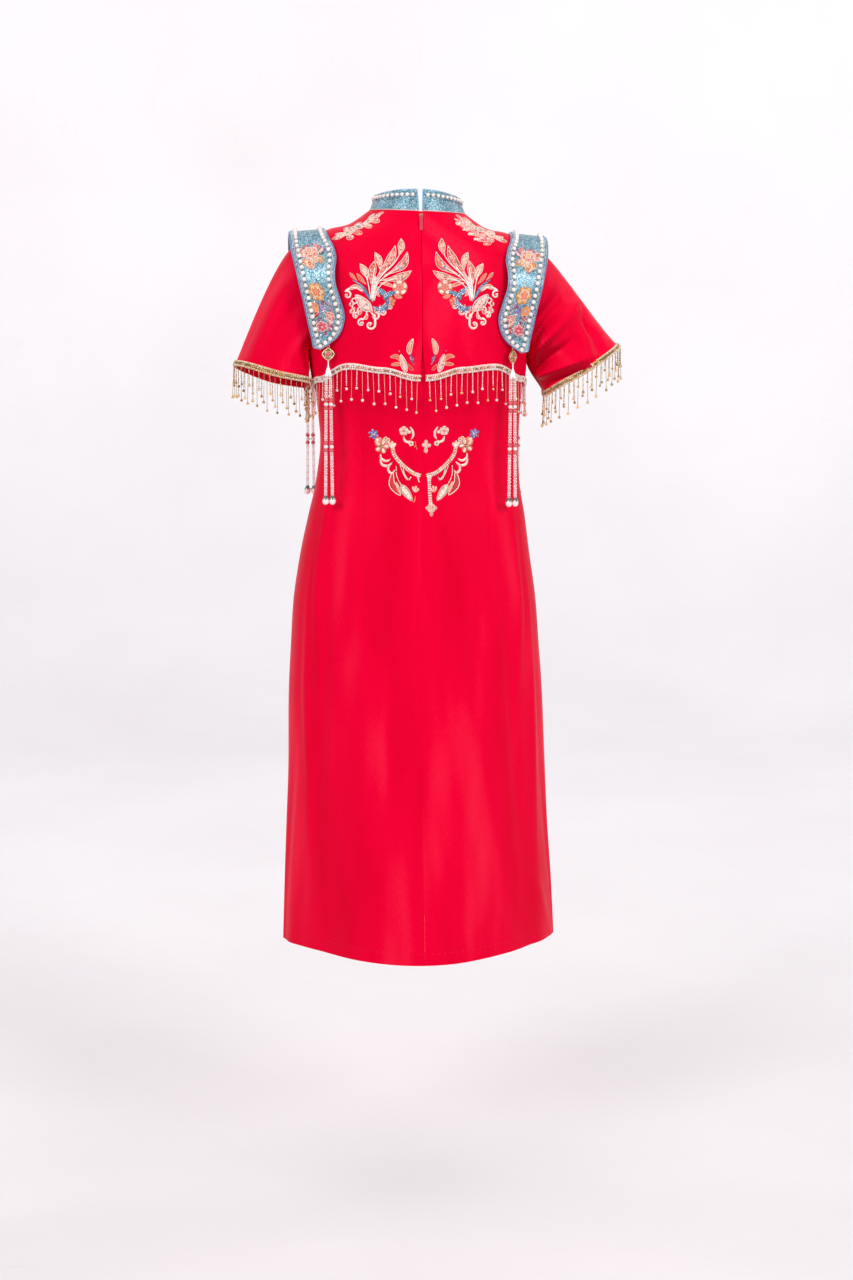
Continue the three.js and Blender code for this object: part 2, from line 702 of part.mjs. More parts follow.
function bandPoint(place, t, lift, hand) {
  const row = bandRow(place);
  const before = bandRow(Math.max(place - 1, 0));
  const after = bandRow(Math.min(place + 1, bandRows.length - 1));
  const out = new THREE.Vector3(0, -(after.z - before.z), after.y - before.y).normalize().negate();
  if (out.z < 0 && Math.abs(row.y) < 60) out.negate();
  if (out.y * row.y < 0 && Math.abs(row.y) >= 60) out.negate();
  const across = (row.outer - row.inner) * t;
  const x = row.inner + across;
  const slope = mix(bandSlope.top, bandSlope.ends, smooth(Math.abs(row.y) / 80));
  const point = new THREE.Vector3(hand * x, row.y, row.z + hand * x * bandTilt);
  return point.addScaledVector(out, lift - across * slope);
}

for (const [side, hand] of [['left', 1], ['right', -1]]) {
  const face = (lift) => bandRows.map((row, i) => {
    const line = [];
    for (let j = 0; j <= bandColumns; j += 1) line.push(bandPoint(i, j / bandColumns, lift, hand));
    return line;
  });
  const strip = wallBetween(face(bandThickness), face(0));
  addPiece(`shoulder_band_${side}`, strip, 'glitter');
}

// --- Applied motifs: thin beaded plates that follow the cloth under them ---

const motifThickness = 1.2;
const motifSeat = 0.95; // from the cloth; seat in the table where a motif spans a turn of the body

// Reach of the outline from its middle, evenly round from straight out to the side, anticlockwise;
// rightOut: how much farther from the seam the right one is sewn
const backMotifs = {
  bird: { x: 62, z: -112, on: 'overlay', rings: 5, seat: 1.35,
    reach: [48, 38, 30, 36, 60, 86, 60, 46, 42, 30, 28, 40, 50, 56, 50, 44] },
  sprig: {
    x: 32, z: -203, on: 'overlay', rings: 1, reach: [18, 14, 20, 24, 16, 12, 16, 16, 15, 19, 17, 18],
  },
  curl: {
    x: 18, z: -327, on: 'dress', rings: 1, rightOut: 7, reach: [12, 14, 17, 16, 12, 10, 11, 14, 17, 16, 12, 11],
  },
  garland: { x: 38, z: -363.5, on: 'dress', rings: 2, seat: 1.15, rightOut: 9,
    reach: [14, 22, 46, 50, 26, 16, 14, 18, 27, 34, 30, 38, 46, 38, 26, 18] },
};

function outlineOf(reach) {
  return reach.map((r, k) => {
    const turn = 2 * Math.PI * k / reach.length;
    return [r * Math.cos(turn), r * Math.sin(turn)];
  });
}

const layers = { overlay: [overlayPoint, overlayFace], dress: [clothPoint, 0] };
const hands = [['left', 1], ['right', -1]];

for (const [name, motif] of Object.entries(backMotifs)) {
  const [cloth, face] = layers[motif.on];
  const low = face + (motif.seat ?? motifSeat);
  for (const [side, hand] of hands) {
    const x = motif.x + (hand < 0 ? motif.rightOut ?? 0 : 0);
    const place = (u, w, lift) => pointOnBack(cloth, hand * (x + u), motif.z + w, lift);
    const plate = plateOn(place, outlineOf(motif.reach), low + motifThickness, low, motif.rings);
    addPiece(`${name}_${side}`, plate, 'beadwork');
  }
}

// The drop that hangs from the right garland's end
const drop = { x: -13, z: -414, reach: [5, 4, 5, 26, 5, 4, 5, 4, 7, 24, 7, 4] };
const dropPlace = (u, w, lift) => pointOnBack(clothPoint, drop.x + u, drop.z + w, lift);
const dropPlate = plateOn(dropPlace, outlineOf(drop.reach), motifSeat + motifThickness, motifSeat, 1);
addPiece('garland_drop', dropPlate, 'beadwork');

// Sprays on the shoulders, laid out along the shoulder (levels) and round the body (degrees)
const spray = {
  level: 1.55, angle: 40, perLevel: 30, perDegree: 1.7, seat: 1.6,
  reach: [30, 26, 20, 19, 19, 24, 31, 26, 19, 18, 19, 26],
};

// Flowers on the shoulder bands: row of the band and place across it
const bandFlowers = {
  flower_high: { row: 8.2, across: 0.42, reach: [14, 16, 19, 17, 14, 15, 17, 15] },
  flower_low: { row: 4.1, across: 0.46, reach: [14, 16, 25, 17, 14, 16, 23, 16] },
};
const bandRowPitch = 19;

for (const [side, hand] of hands) {
  const sprayPlace = (u, w, lift) => {
    const angle = spray.angle + w / spray.perDegree;
    return overlayPoint(spray.level + u / spray.perLevel, hand > 0 ? angle : 180 - angle, lift);
  };
  const low = overlayFace + spray.seat;
  const leaves = plateOn(sprayPlace, outlineOf(spray.reach), low + motifThickness, low);
  addPiece(`shoulder_spray_${side}`, leaves, 'beadwork');
  for (const [name, flower] of Object.entries(bandFlowers)) {
    const place = (u, w, lift) => {
      const row = bandRow(flower.row);
      const t = flower.across + u / (row.outer - row.inner);
      return bandPoint(flower.row + w / bandRowPitch, t, lift, hand);
    };
    const seatLift = bandThickness + motifSeat;
    const plate = plateOn(place, outlineOf(flower.reach), seatLift + motifThickness, seatLift);
    addPiece(`${name}_${side}`, plate, 'flowers');
  }
}

// --- Tassels: an enamelled medallion on an eye, with two strands of beads ---

const medallion = { half: 10, thick: 3.4, eye: 1.1, bail: 2.8, bailWide: 1.2, tuft: 19, tuftWide: 5.4 };
const strandGap = 6.2; // between the two strands at their tops
const strandLean = 0.0105; // radians outwards, as the bulbs push each other apart
// radius and drop along a strand, from its top
const strandProfile = [
  { radius: 2.5, drop: 0 }, { radius: 2.5, drop: 35 },
  { radius: 3.4, drop: 36 }, { radius: 3.4, drop: 53 },
  { radius: 2.5, drop: 54 }, { radius: 2.5, drop: 98 },
  { radius: 3.4, drop: 99 }, { radius: 3.4, drop: 115 },
  { radius: 2.5, drop: 116 }, { radius: 2.5, drop: 179 },
  { radius: 4.9, drop: 186 }, { radius: 4.9, drop: 191 }, { radius: 2.5, drop: 196 },
];
const strandSides = 6;
// Where each tassel's eye hangs under the lower edge of its band: row and place across it; drop: what a
// slanting edge needs; turn: degrees about the upright; strands: the same for its pair of strands
const tassels = {
  back_left: { hand: 1, row: 0.78, across: 0, drop: 1, turn: 0, strands: 0 },
  back_right: { hand: -1, row: 0.9, across: 0, drop: 1.5, turn: 55, strands: 15 },
  front_left: { hand: 1, row: bandRows.length - 1, across: 0.5, drop: seat, turn: 0, strands: 0 },
  front_right: { hand: -1, row: bandRows.length - 1, across: 0.5, drop: seat, turn: -20, strands: -10 },
};

function medallionShape() {
  const { half, bail, bailWide, tuft, tuftWide } = medallion;
  const shape = new THREE.Shape();
  const corner = 0.78; // how full the sides of the diamond are
  const bottom = -bail - 2 * half;
  shape.moveTo(-bailWide, -0.5);
  shape.lineTo(-bailWide, -bail);
  shape.quadraticCurveTo(-half * corner, -bail - half * (1 - corner), -half, -bail - half);
  shape.quadraticCurveTo(-half * corner, -bail - half * (1 + corner), -1.5, bottom);
  shape.lineTo(-tuftWide, bottom - tuft);
  shape.lineTo(tuftWide, bottom - tuft);
  shape.lineTo(1.5, bottom);
  shape.quadraticCurveTo(half * corner, -bail - half * (1 + corner), half, -bail - half);
  shape.quadraticCurveTo(half * corner, -bail - half * (1 - corner), bailWide, -bail);
  shape.lineTo(bailWide, -0.5);
  return shape;
}

// Turns an upright outline's solid to stand in X and Z, with its thickness either side of Y = 0
function standUp(geometry, thick) {
  return geometry.translate(0, 0, -thick / 2).rotateX(Math.PI / 2);
}

for (const [place, hang] of Object.entries(tassels)) {
  const turn = radians(hang.turn);
  const plate = new THREE.ExtrudeGeometry(medallionShape(), {
    depth: medallion.thick, bevelEnabled: false, curveSegments: 4,
  });
  const eye = new THREE.CylinderGeometry(medallion.eye, medallion.eye, 2 * medallion.bailWide, 12);
  const solid = joined(standUp(plate, medallion.thick), eye.rotateZ(Math.PI / 2));
  const edge = bandPoint(hang.row, hang.across, bandThickness / 2, hang.hand);
  const at = [edge.x, edge.y, edge.z - hang.drop - medallion.eye];
  addPiece(`medallion_${place}`, solid, 'enamel', at).rotation.z = turn;
  const strandTop = -medallion.bail - 2 * medallion.half - medallion.tuft - seat;
  const points = strandProfile.map(({ radius, drop: down }) => new THREE.Vector2(radius, -down));
  const bottom = strandProfile[strandProfile.length - 1].drop;
  const profile = [new THREE.Vector2(0, -bottom), ...points.reverse(), new THREE.Vector2(0, 0)];
  for (const [strand, hand] of [['a', 1], ['b', -1]]) {
    const side = radians(hang.strands);
    const lathe = new THREE.LatheGeometry(profile, strandSides).rotateX(Math.PI / 2);
    lathe.rotateY(-hand * strandLean).rotateZ(side);
    const reach = hand * strandGap / 2;
    addPiece(`strand_${place}_${strand}`, lathe, 'pearl', [
      at[0] + reach * Math.cos(side), at[1] + reach * Math.sin(side), at[2] + strandTop,
    ]);
  }
}

// --- Zip at the centre back: tape inside, slider and pull tab outside at the neck ---

const zip = { top: 0.12, half: 11, thick: 0.8 };
const tapeGap = 0.6;

function tapeGrid(lift) {
  return [zip.top, ...bodiceRows.slice(1), ...waistRows].map((level) => {
    const { z } = surfacePoint(level, 90);
    return [-1, 0, 1].map((part) => pointOnBack(clothPoint, part * zip.half, z, lift));
  });
}
const tapeFace = -dressThickness - tapeGap;
addPiece('zip_tape', wallBetween(tapeGrid(tapeFace), tapeGrid(tapeFace - zip.thick)), 'tape');

const slider = {
  wide: 5, long: 7.5, thick: 2.2, z: -4, earGap: 1.9, earThick: 0.7, earOut: 5, pivotOut: 3.7,
};
const tab = { wide: 4.6, neck: 3.2, long: 22, thick: 1, eye: 1.1 };

function sliderSolid() {
  const body = new THREE.BoxGeometry(slider.wide, slider.thick, slider.long);
  body.translate(0, slider.thick / 2, 0);
  const ears = [-1, 1].map((hand) => {
    const ear = new THREE.BoxGeometry(slider.earThick, slider.earOut - 1, 2.8);
    return ear.translate(hand * (slider.earGap + slider.earThick / 2), 1 + (slider.earOut - 1) / 2, 0);
  });
  return joined(body, ...ears);
}

function tabSolid() {
  const shape = new THREE.Shape();
  const end = tab.wide / 2;
  const neckEnd = 4;
  shape.moveTo(-tab.neck / 2, 0);
  shape.lineTo(-tab.neck / 2, -neckEnd);
  shape.lineTo(-end, -neckEnd - 1);
  shape.lineTo(-end, -tab.long + end);
  shape.absarc(0, -tab.long + end, end, Math.PI, 2 * Math.PI, false);
  shape.lineTo(end, -neckEnd - 1);
  shape.lineTo(tab.neck / 2, -neckEnd);
  shape.lineTo(tab.neck / 2, 0);
  const plate = new THREE.ExtrudeGeometry(shape, {
    depth: tab.thick, bevelEnabled: false, curveSegments: 8,
  });
  const eye = new THREE.CylinderGeometry(tab.eye, tab.eye, 2 * (slider.earGap - seat), 12);
  return joined(standUp(plate, tab.thick), eye.rotateZ(Math.PI / 2));
}

const sliderSeat = pointOnBack(overlayPoint, 0, slider.z, overlayFace + 0.4);
const sliderOut = surfaceNormal(levelAtHeight(slider.z), 90);
const sliderLean = Math.atan2(sliderOut.z, sliderOut.y);
const pivot = sliderSeat.clone().addScaledVector(sliderOut, slider.pivotOut);
addPiece('zip_slider', sliderSolid(), 'gold', sliderSeat.toArray()).rotation.x = sliderLean;
addPiece('zip_pull_tab', tabSolid(), 'lacquer', pivot.toArray()).rotation.x = sliderLean;

export default dress;
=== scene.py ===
import json
import math
import random

import bmesh
import bpy
import numpy as np
from mathutils import Matrix, Vector
from mathutils.bvhtree import BVHTree

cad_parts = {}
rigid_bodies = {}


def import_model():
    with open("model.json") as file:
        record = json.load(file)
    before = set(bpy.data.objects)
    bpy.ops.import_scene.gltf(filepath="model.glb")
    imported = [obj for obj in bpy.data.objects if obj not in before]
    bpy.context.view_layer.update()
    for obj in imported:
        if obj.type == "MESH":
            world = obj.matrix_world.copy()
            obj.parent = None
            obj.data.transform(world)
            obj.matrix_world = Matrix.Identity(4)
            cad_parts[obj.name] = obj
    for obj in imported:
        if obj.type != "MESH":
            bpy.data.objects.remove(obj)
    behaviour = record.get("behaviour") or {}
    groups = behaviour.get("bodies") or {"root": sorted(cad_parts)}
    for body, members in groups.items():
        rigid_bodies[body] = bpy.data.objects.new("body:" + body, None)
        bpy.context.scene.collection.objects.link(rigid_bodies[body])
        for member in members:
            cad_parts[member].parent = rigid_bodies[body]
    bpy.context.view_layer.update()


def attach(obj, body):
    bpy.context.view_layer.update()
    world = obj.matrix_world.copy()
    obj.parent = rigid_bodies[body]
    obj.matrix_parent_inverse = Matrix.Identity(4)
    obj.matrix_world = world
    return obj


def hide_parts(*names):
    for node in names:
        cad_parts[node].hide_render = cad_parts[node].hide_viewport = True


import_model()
mm = 0.001  # the tables below are in millimetres, the model is in metres

# Reach of the body and height of its levels, from the neck seam (0) to the hem (22)
levelColumns = ("side", "back", "front", "zSide", "zBack", "zFront", "round", "crease", "shift", "tilt")
levels = (
    (70, 65, 61, 0, 4, -62, 2.0, 0, 0, 0.045),
    (100, 71, 68, -20.5, -15, -74, 2.1, 0, 0, 0.034),
    (130, 78, 76, -27.6, -32, -86, 2.2, 0, 0, 0.024),
    (156, 85, 84, -39, -51, -100, 2.3, 0, 0, 0.016),
    (172, 91, 92, -48, -70, -114, 2.4, 0, 0, 0.012),
    (172, 98, 102, -82, -97, -132, 2.4, 0, 0, 0.01),
    (168, 103, 112, -116, -125, -151, 2.4, 0, 0, 0.008),
    (165, 105, 120, -150, -155, -171, 2.35, 0, 0, 0.004),
    (163, 104, 125, -188, -189, -195, 2.3, 0, 0, 0),
    (160, 100, 126, -227, -227, -227, 2.25, 0, -1, 0),
    (156, 93, 121, -262, -262, -262, 2.2, 0, -2, 0),
    (152, 84, 109, -300, -300, -300, 2.2, 0, -2.5, 0),
    (149.5, 78, 97, -345, -345, -345, 2.2, 0, -2.5, 0),
    (155, 84, 95, -405, -405, -405, 2.2, 0, 0, 0),
    (164, 96, 98, -450, -450, -450, 2.2, 0, 1.5, 0),
    (174, 106, 101, -507, -507, -507, 2.2, 0, 4, 0),
    (184.5, 112, 104, -577, -577, -577, 2.2, 0, 4.5, 0),
    (190, 114, 106, -651, -651, -651, 2.15, 0, 4, 0),
    (195, 116, 108, -727, -727, -727, 2.05, 0.05, 3, 0),
    (198.5, 120, 112, -840, -840, -840, 2.0, 0.25, 1, 0),
    (203, 126, 117, -936, -937, -936, 2.0, 0.45, 0.5, 0),
    (208, 133, 123, -1025, -1028, -1026, 2.0, 0.6, -1, 0),
    (212, 140, 128, -1114, -1121, -1117, 2.0, 0.75, -2, 0),
)
levelTable = {name: np.array([row[k] for row in levels], float) for k, name in enumerate(levelColumns)}
hemLevel = len(levels) - 1
shoulderTip = 4
underarm = 8.75
armholeReach = {"back": 27, "front": 32}  # degrees round the body at its middle
clothThickness = 1.3
overlayLift = 0.7
overlayFace = overlayLift + clothThickness

# Soft upright folds of the skirt: degrees round, heights, degrees wide, how far out
skirtFolds = (
    (22, -470, -1120, 7, 3.5),
    (48, -620, -1120, 9, -3),
    (118, -700, -1120, 10, -2.5),
    (151, -480, -1120, 8, 3.5),
    (205, -560, -1120, 9, 3),
    (238, -640, -1120, 10, -3),
    (300, -600, -1120, 10, -3),
    (334, -540, -1120, 8, 3),
)

# Creases of the satin: degrees round, height, lean off the upright, how wide, how long, how high
creases = (
    (64, -20, 88, 9, 60, 0.8),
    (112, -18, 92, 9, 55, 0.8),
    (50, -60, 70, 14, 60, -1.0),
    (128, -66, 112, 14, 60, -1.0),
    (74, -235, 4, 13, 70, 1.1),
    (58, -220, -6, 12, 70, -1.0),
    (106, -232, -3, 13, 70, 1.1),
    (121, -222, 6, 12, 70, -1.0),
    (30, -330, 78, 10, 60, 1.3),
    (28, -362, 84, 9, 55, -1.2),
    (152, -338, 100, 10, 60, 1.3),
    (150, -372, 96, 9, 50, -1.2),
    (64, -500, 8, 16, 120, -1.4),
    (36, -560, 4, 10, 170, 3.6),
    (31, -740, 2, 10, 200, 4.0),
    (43, -700, -3, 9, 190, -3.2),
    (64, -640, 3, 9, 120, 1.8),
    (74, -900, -30, 14, 110, 2.4),
    (144, -590, -5, 8, 120, 3.8),
    (152, -780, -2, 10, 190, 3.6),
    (136, -760, 3, 9, 180, -3.2),
    (116, -640, -4, 9, 110, -1.8),
    (112, -960, 6, 10, 140, 2.0),
    (100, -880, 3, 20, 170, 1.6),
    (72, -910, -4, 20, 160, -1.6),
    (40, -1030, -32, 15, 90, 3.2),
    (52, -1060, -30, 14, 80, -2.8),
    (147, -1030, 30, 15, 90, 3.2),
    (134, -1066, 28, 14, 80, -2.8),
    (16, -900, -6, 14, 170, -2.2),
    (165, -900, 6, 14, 170, -2.2),
    (210, -330, 80, 10, 60, 1.3),
    (330, -345, 98, 10, 60, 1.3),
    (218, -600, 4, 14, 150, 2.2),
    (322, -620, -4, 14, 150, 2.2),
    (250, -850, 3, 18, 190, -2.2),
    (286, -840, -3, 18, 190, 2.2),
    (216, -1040, 30, 15, 90, 2.8),
    (326, -1040, -30, 15, 90, 2.8),
    (232, -150, 20, 14, 60, -1.2),
    (306, -150, -20, 14, 60, -1.2),
)
# Darts and the centre back seam: where they start and end (x, z), how wide and how deep
bodySeams = (
    (88, -270, 92, -700, 2.6, 1.5),
    (-103, -255, -105, -660, 2.6, 1.5),
    (0, -120, 0, -1130, 2.4, 2.2),
)


def blend(a, b, t):
    return a + (b - a) * t


def smooth(t):
    c = np.clip(t, 0, 1)
    return c * c * (3 - 2 * c)


# Point of the smooth curve through the rows of a table, at a row number that may lie between two rows
def between(rows, place):
    rows, place = np.asarray(rows, float), np.asarray(place, float)
    last = len(rows) - 1
    i = np.clip(np.floor(place), 0, last - 1).astype(int)
    t = place - i
    if rows.ndim > 1:
        t = t[..., None]
    before, here = rows[np.maximum(i - 1, 0)], rows[i]
    after, beyond = rows[i + 1], rows[np.minimum(i + 2, last)]
    curve = here * (2 * t**3 - 3 * t**2 + 1) + after * (3 * t**2 - 2 * t**3)
    return curve + (after - before) / 2 * (t**3 - 2 * t**2 + t) + (beyond - here) / 2 * (t**3 - t**2)


def smoothLine(points, count):
    return between(points, np.linspace(0, len(points) - 1, count))


def levelValue(column, level):
    return between(levelTable[column], level)


def closedLine(line):
    return np.concatenate([line, line[:1]])


def lengthsAlong(line):
    return np.concatenate([[0], np.cumsum(np.linalg.norm(np.diff(line, axis=0), axis=1))])


def pointAt(line, lengths, wanted):
    return np.stack([np.interp(wanted, lengths, column) for column in line.T], axis=-1)


def stack(x, y, z):
    return np.stack(np.broadcast_arrays(x, y, z), axis=-1)


def unit(v):
    return v / np.maximum(np.linalg.norm(v, axis=-1, keepdims=True), 1e-12)


def bareSurface(level, angle):
    power = 2 / levelValue("round", level)
    deepPower = blend(power, 2, levelValue("crease", level))
    c, s = np.cos(np.radians(angle)), np.sin(np.radians(angle))
    across = np.sign(c) * np.abs(c) ** power
    deep = np.sign(s) * np.abs(s) ** deepPower
    behind = s >= 0
    depth = np.where(behind, levelValue("back", level), levelValue("front", level))
    zEnd = np.where(behind, levelValue("zBack", level), levelValue("zFront", level))
    x = levelValue("side", level) * across + levelValue("shift", level)
    z = blend(levelValue("zSide", level), zEnd, np.abs(deep) ** 1.5) + x * levelValue("tilt", level)
    return stack(x, depth * deep, z)


def turnFrom(angle, around):
    return (angle - around + 540) % 360 - 180


def swellOf(point, angle):
    x, y, z = point[..., 0], point[..., 1], point[..., 2]
    swell = np.zeros_like(z)
    for around, top, bottom, wide, high in skirtFolds:
        grown = smooth((top - z) / (top - bottom))
        swell += high * grown * np.exp(-((turnFrom(angle, around) / wide) ** 2))
    mmPerDegree = 2.7
    for around, height, lean, wide, long, high in creases:
        across = turnFrom(angle, around) * mmPerDegree
        down = z - height
        c, s = math.cos(math.radians(lean)), math.sin(math.radians(lean))
        beside, ahead = across * c + down * s, down * c - across * s
        swell += high * np.exp(-((beside / wide) ** 2) - (ahead / long) ** 2)
    for x0, z0, x1, z1, wide, deep in bodySeams:
        along = np.clip((z - z0) / (z1 - z0), 0, 1)
        shown = smooth((z0 - z) / 60) * smooth((z - z1) / 60)
        swell -= deep * shown * (y > 0) * np.exp(-(((x - blend(x0, x1, along)) / wide) ** 2))
    return swell


def surfacePoint(level, angle):
    point = bareSurface(level, angle)
    out = unit(point * np.array([1, 1, 0]))
    return point + out * swellOf(point, angle)[..., None]


def surfaceNormal(level, angle):
    step, turn = 0.04, 1.5
    up = surfacePoint(np.maximum(level - step, 0), angle) - surfacePoint(level + step, angle)
    across = surfacePoint(level, angle + turn) - surfacePoint(level, angle - turn)
    return unit(np.cross(across, up))


def clothPoint(level, angle, lift):
    return surfacePoint(level, angle) + surfaceNormal(level, angle) * np.asarray(lift)[..., None]


def levelAtHeight(z, column="zBack"):
    low = np.zeros_like(np.asarray(z, float))
    high = low + hemLevel
    for _ in range(30):
        middle = (low + high) / 2
        above = levelValue(column, middle) > z
        low, high = np.where(above, middle, low), np.where(above, high, middle)
    return (low + high) / 2


def armholeAngle(level, widest):
    t = np.clip((level - shoulderTip) / (underarm - shoulderTip), 0, 1)
    return widest * np.sin(np.pi * t**0.85) ** 0.7


# Finishes


class Wire:
    def __init__(self, paint, socket):
        self.paint = paint
        self.socket = socket

    def worked(self, operation, first, second):
        return self.paint.node("ShaderNodeMath", {"operation": operation}, {0: first, 1: second})

    def __add__(self, other):
        return self.worked("ADD", self, other)

    __radd__ = __add__

    def __sub__(self, other):
        return self.worked("SUBTRACT", self, other)

    def __rsub__(self, other):
        return self.worked("SUBTRACT", other, self)

    def __mul__(self, other):
        return self.worked("MULTIPLY", self, other)

    __rmul__ = __mul__


class Paint:
    def __init__(self, name, **values):
        self.material = bpy.data.materials.new(name)
        self.material.use_nodes = True
        self.tree = self.material.node_tree
        self.shader = self.tree.nodes["Principled BSDF"]
        for socket, value in values.items():
            self.feed(self.shader.inputs[socket.replace("_", " ")], value)

    def feed(self, socket, value):
        if isinstance(value, Wire):
            self.tree.links.new(value.socket, socket)
        elif socket.type == "RGBA":
            socket.default_value = (*value, 1) if len(value) == 3 else value
        else:
            socket.default_value = value

    def node(self, kind, settings=None, inputs=None, output=0):
        made = self.tree.nodes.new(kind)
        for name, value in (settings or {}).items():
            if name == "stops":
                ramp = made.color_ramp
                while len(ramp.elements) < len(value):
                    ramp.elements.new(0.5)
                for stop, (place, colour) in zip(ramp.elements, value):
                    stop.position = place
                    stop.color = (*colour, 1)
            else:
                setattr(made, name, value)
        for name, value in (inputs or {}).items():
            self.feed(made.inputs[name], value)
        return Wire(self, made.outputs[output])

    def set(self, socket, value):
        self.feed(self.shader.inputs[socket], value)

    def objectPlace(self):
        return self.node("ShaderNodeTexCoord", output="Object")

    def clothPlace(self):
        return self.node("ShaderNodeUVMap", {"uv_map": "cloth"})

    def stretched(self, place, scale):
        return self.node("ShaderNodeMapping", None, {"Vector": place, "Scale": scale})

    def noise(self, place, scale, detail=2, roughness=0.5):
        inputs = {"Vector": place, "Scale": scale, "Detail": detail, "Roughness": roughness}
        return self.node("ShaderNodeTexNoise", None, inputs)

    def mix(self, factor, first, second):
        return self.node("ShaderNodeMix", {"data_type": "RGBA"}, {0: factor, 6: first, 7: second}, output=2)

    def ramp(self, value, stops):
        return self.node("ShaderNodeValToRGB", {"stops": stops}, {0: value})

    def bump(self, height, distance, strength=1.0, normal=None):
        inputs = {"Height": height, "Distance": distance, "Strength": strength}
        if normal:
            inputs["Normal"] = normal
        return self.node("ShaderNodeBump", None, inputs)


satinLook = {
    "red": (0.84, 0.0, 0.034),
    "shade": (0.7, 0.0, 0.022),
    # painted sheen highlight: a lighter pinkish red that the slow streaks lay over the red
    "paintedSheen": (0.95, 0.02, 0.062),
    "under": (0.42, 0.0, 0.014),  # where a fold turns down, away from the light
    "roughness": 0.46,
    "threadPitch": 0.35 * mm,
    "ripple": 0.5 * mm,
}


def satinFinish():
    look = satinLook
    paint = Paint("satin", Specular_IOR_Level=0.12, Specular_Tint=(1.0, 0.1, 0.17))
    cloth = paint.clothPlace()
    slow = paint.noise(paint.stretched(cloth, (13, 2.4, 1)), 1.0, 2)
    fine = paint.noise(paint.stretched(cloth, (900, 140, 1)), 1.0, 1)
    tone = slow * 0.85 + fine * 0.15
    normal = paint.node("ShaderNodeNewGeometry", output="Normal")
    upward = paint.node("ShaderNodeSeparateXYZ", None, {"Vector": normal}, output="Z")
    lit = paint.ramp(upward + 0.7, ((0.15, (0, 0, 0)), (0.55, (1, 1, 1))))
    # slow streaks along the cloth run from the darker shade through the red to the painted sheen highlight
    red = paint.ramp(tone, ((0.3, look["shade"]), (0.53, look["red"]), (0.76, look["paintedSheen"])))
    paint.set("Base Color", paint.mix(lit, look["under"], red))
    paint.set("Roughness", look["roughness"] + (fine - 0.5) * 0.12 + (slow - 0.5) * 0.08)
    weave = paint.node("ShaderNodeTexWave", {"wave_type": "BANDS", "bands_direction": "DIAGONAL"},
                       {"Vector": cloth, "Scale": 1 / look["threadPitch"] / 20, "Distortion": 0.3})
    soft = paint.noise(paint.stretched(cloth, (26, 7, 1)), 1.0, 3)
    folded = paint.bump(soft, look["ripple"], 0.35)
    paint.set("Normal", paint.bump(weave, 0.05 * mm, 0.25, folded))
    return paint.material


def glitterFinish():
    paint = Paint("glitterCloth", Coat_Roughness=0.2)
    place = paint.objectPlace()
    flakes = []
    for scale in (620, 1300):
        inputs = {"Vector": place, "Scale": scale}
        cells = paint.node("ShaderNodeTexVoronoi", {"feature": "F1"}, inputs, "Color")
        flakes.append([paint.node("ShaderNodeSeparateColor", None, {0: cells}, k) for k in range(3)])
    (coarse, shine, tilt), (fine, spark, _) = flakes
    patches = paint.noise(place, 42, 3)
    hue = coarse * 0.42 + fine * 0.3 + patches * 0.28
    colour = paint.ramp(hue, (
        (0.2, (0.03, 0.1, 0.17)), (0.34, (0.06, 0.2, 0.3)), (0.46, (0.1, 0.32, 0.42)),
        (0.56, (0.17, 0.44, 0.54)), (0.66, (0.25, 0.34, 0.42)), (0.8, (0.62, 0.78, 0.86)),
    ))
    sparkle = paint.ramp(spark, ((0.86, (0, 0, 0)), (0.93, (1, 1, 1))))
    paint.set("Base Color", paint.mix(sparkle, colour, (0.85, 0.92, 0.98)))
    paint.set("Metallic", shine * 0.45 + 0.2)
    paint.set("Roughness", 0.24 + tilt * 0.3)
    paint.set("Coat Weight", 0.15)
    paint.set("Normal", paint.bump(coarse + fine * 0.6, 0.35 * mm, 0.8))
    return paint.material


def beadFinish():
    paint = Paint("beads", Coat_Roughness=0.08, Specular_IOR_Level=0.6)
    dye = paint.node("ShaderNodeAttribute", {"attribute_name": "dye"})
    metal = paint.node("ShaderNodeAttribute", {"attribute_name": "metal"}, output=2)
    # painted pearl sheen, even all over: the dye is mixed a tenth of the way towards a pale pink, which beads
    # that are not metallic keep
    paintedLustre = paint.mix(0.1, dye, (0.95, 0.82, 0.86))
    paint.set("Base Color", paint.mix(metal, paintedLustre, dye))
    paint.set("Metallic", metal)
    paint.set("Roughness", 0.2 + metal * 0.08)
    paint.set("Coat Weight", 0.5 - metal * 0.5)
    return paint.material


def threadFinish():
    paint = Paint("thread", Sheen_Weight=0.3, Sheen_Roughness=0.4)
    dye = paint.node("ShaderNodeAttribute", {"attribute_name": "dye"})
    strands = paint.noise(paint.stretched(paint.objectPlace(), (1400, 1400, 700)), 1.0, 2)
    shade = paint.node("ShaderNodeHueSaturation", None, {"Color": dye, "Value": strands * 0.5 + 0.78})
    paint.set("Base Color", shade)
    paint.set("Roughness", 0.45 + strands * 0.2)
    paint.set("Normal", paint.bump(strands, 0.2 * mm, 0.5))
    return paint.material


def tapeFinish():
    paint = Paint("zipTape", Base_Color=(0.5, 0.01, 0.04))
    inputs = {"Vector": paint.clothPlace(), "Scale": 260}
    ribs = paint.node("ShaderNodeTexWave", {"bands_direction": "Y"}, inputs)
    paint.set("Roughness", 0.6 + ribs * 0.15)
    paint.set("Normal", paint.bump(ribs, 0.15 * mm, 0.4))
    return paint.material


def metalFinish():
    paint = Paint("zipMetal", Base_Color=(0.72, 0.5, 0.28), Metallic=0.95)
    wear = paint.noise(paint.objectPlace(), 900, 3)
    paint.set("Roughness", 0.22 + wear * 0.18)
    return paint.material


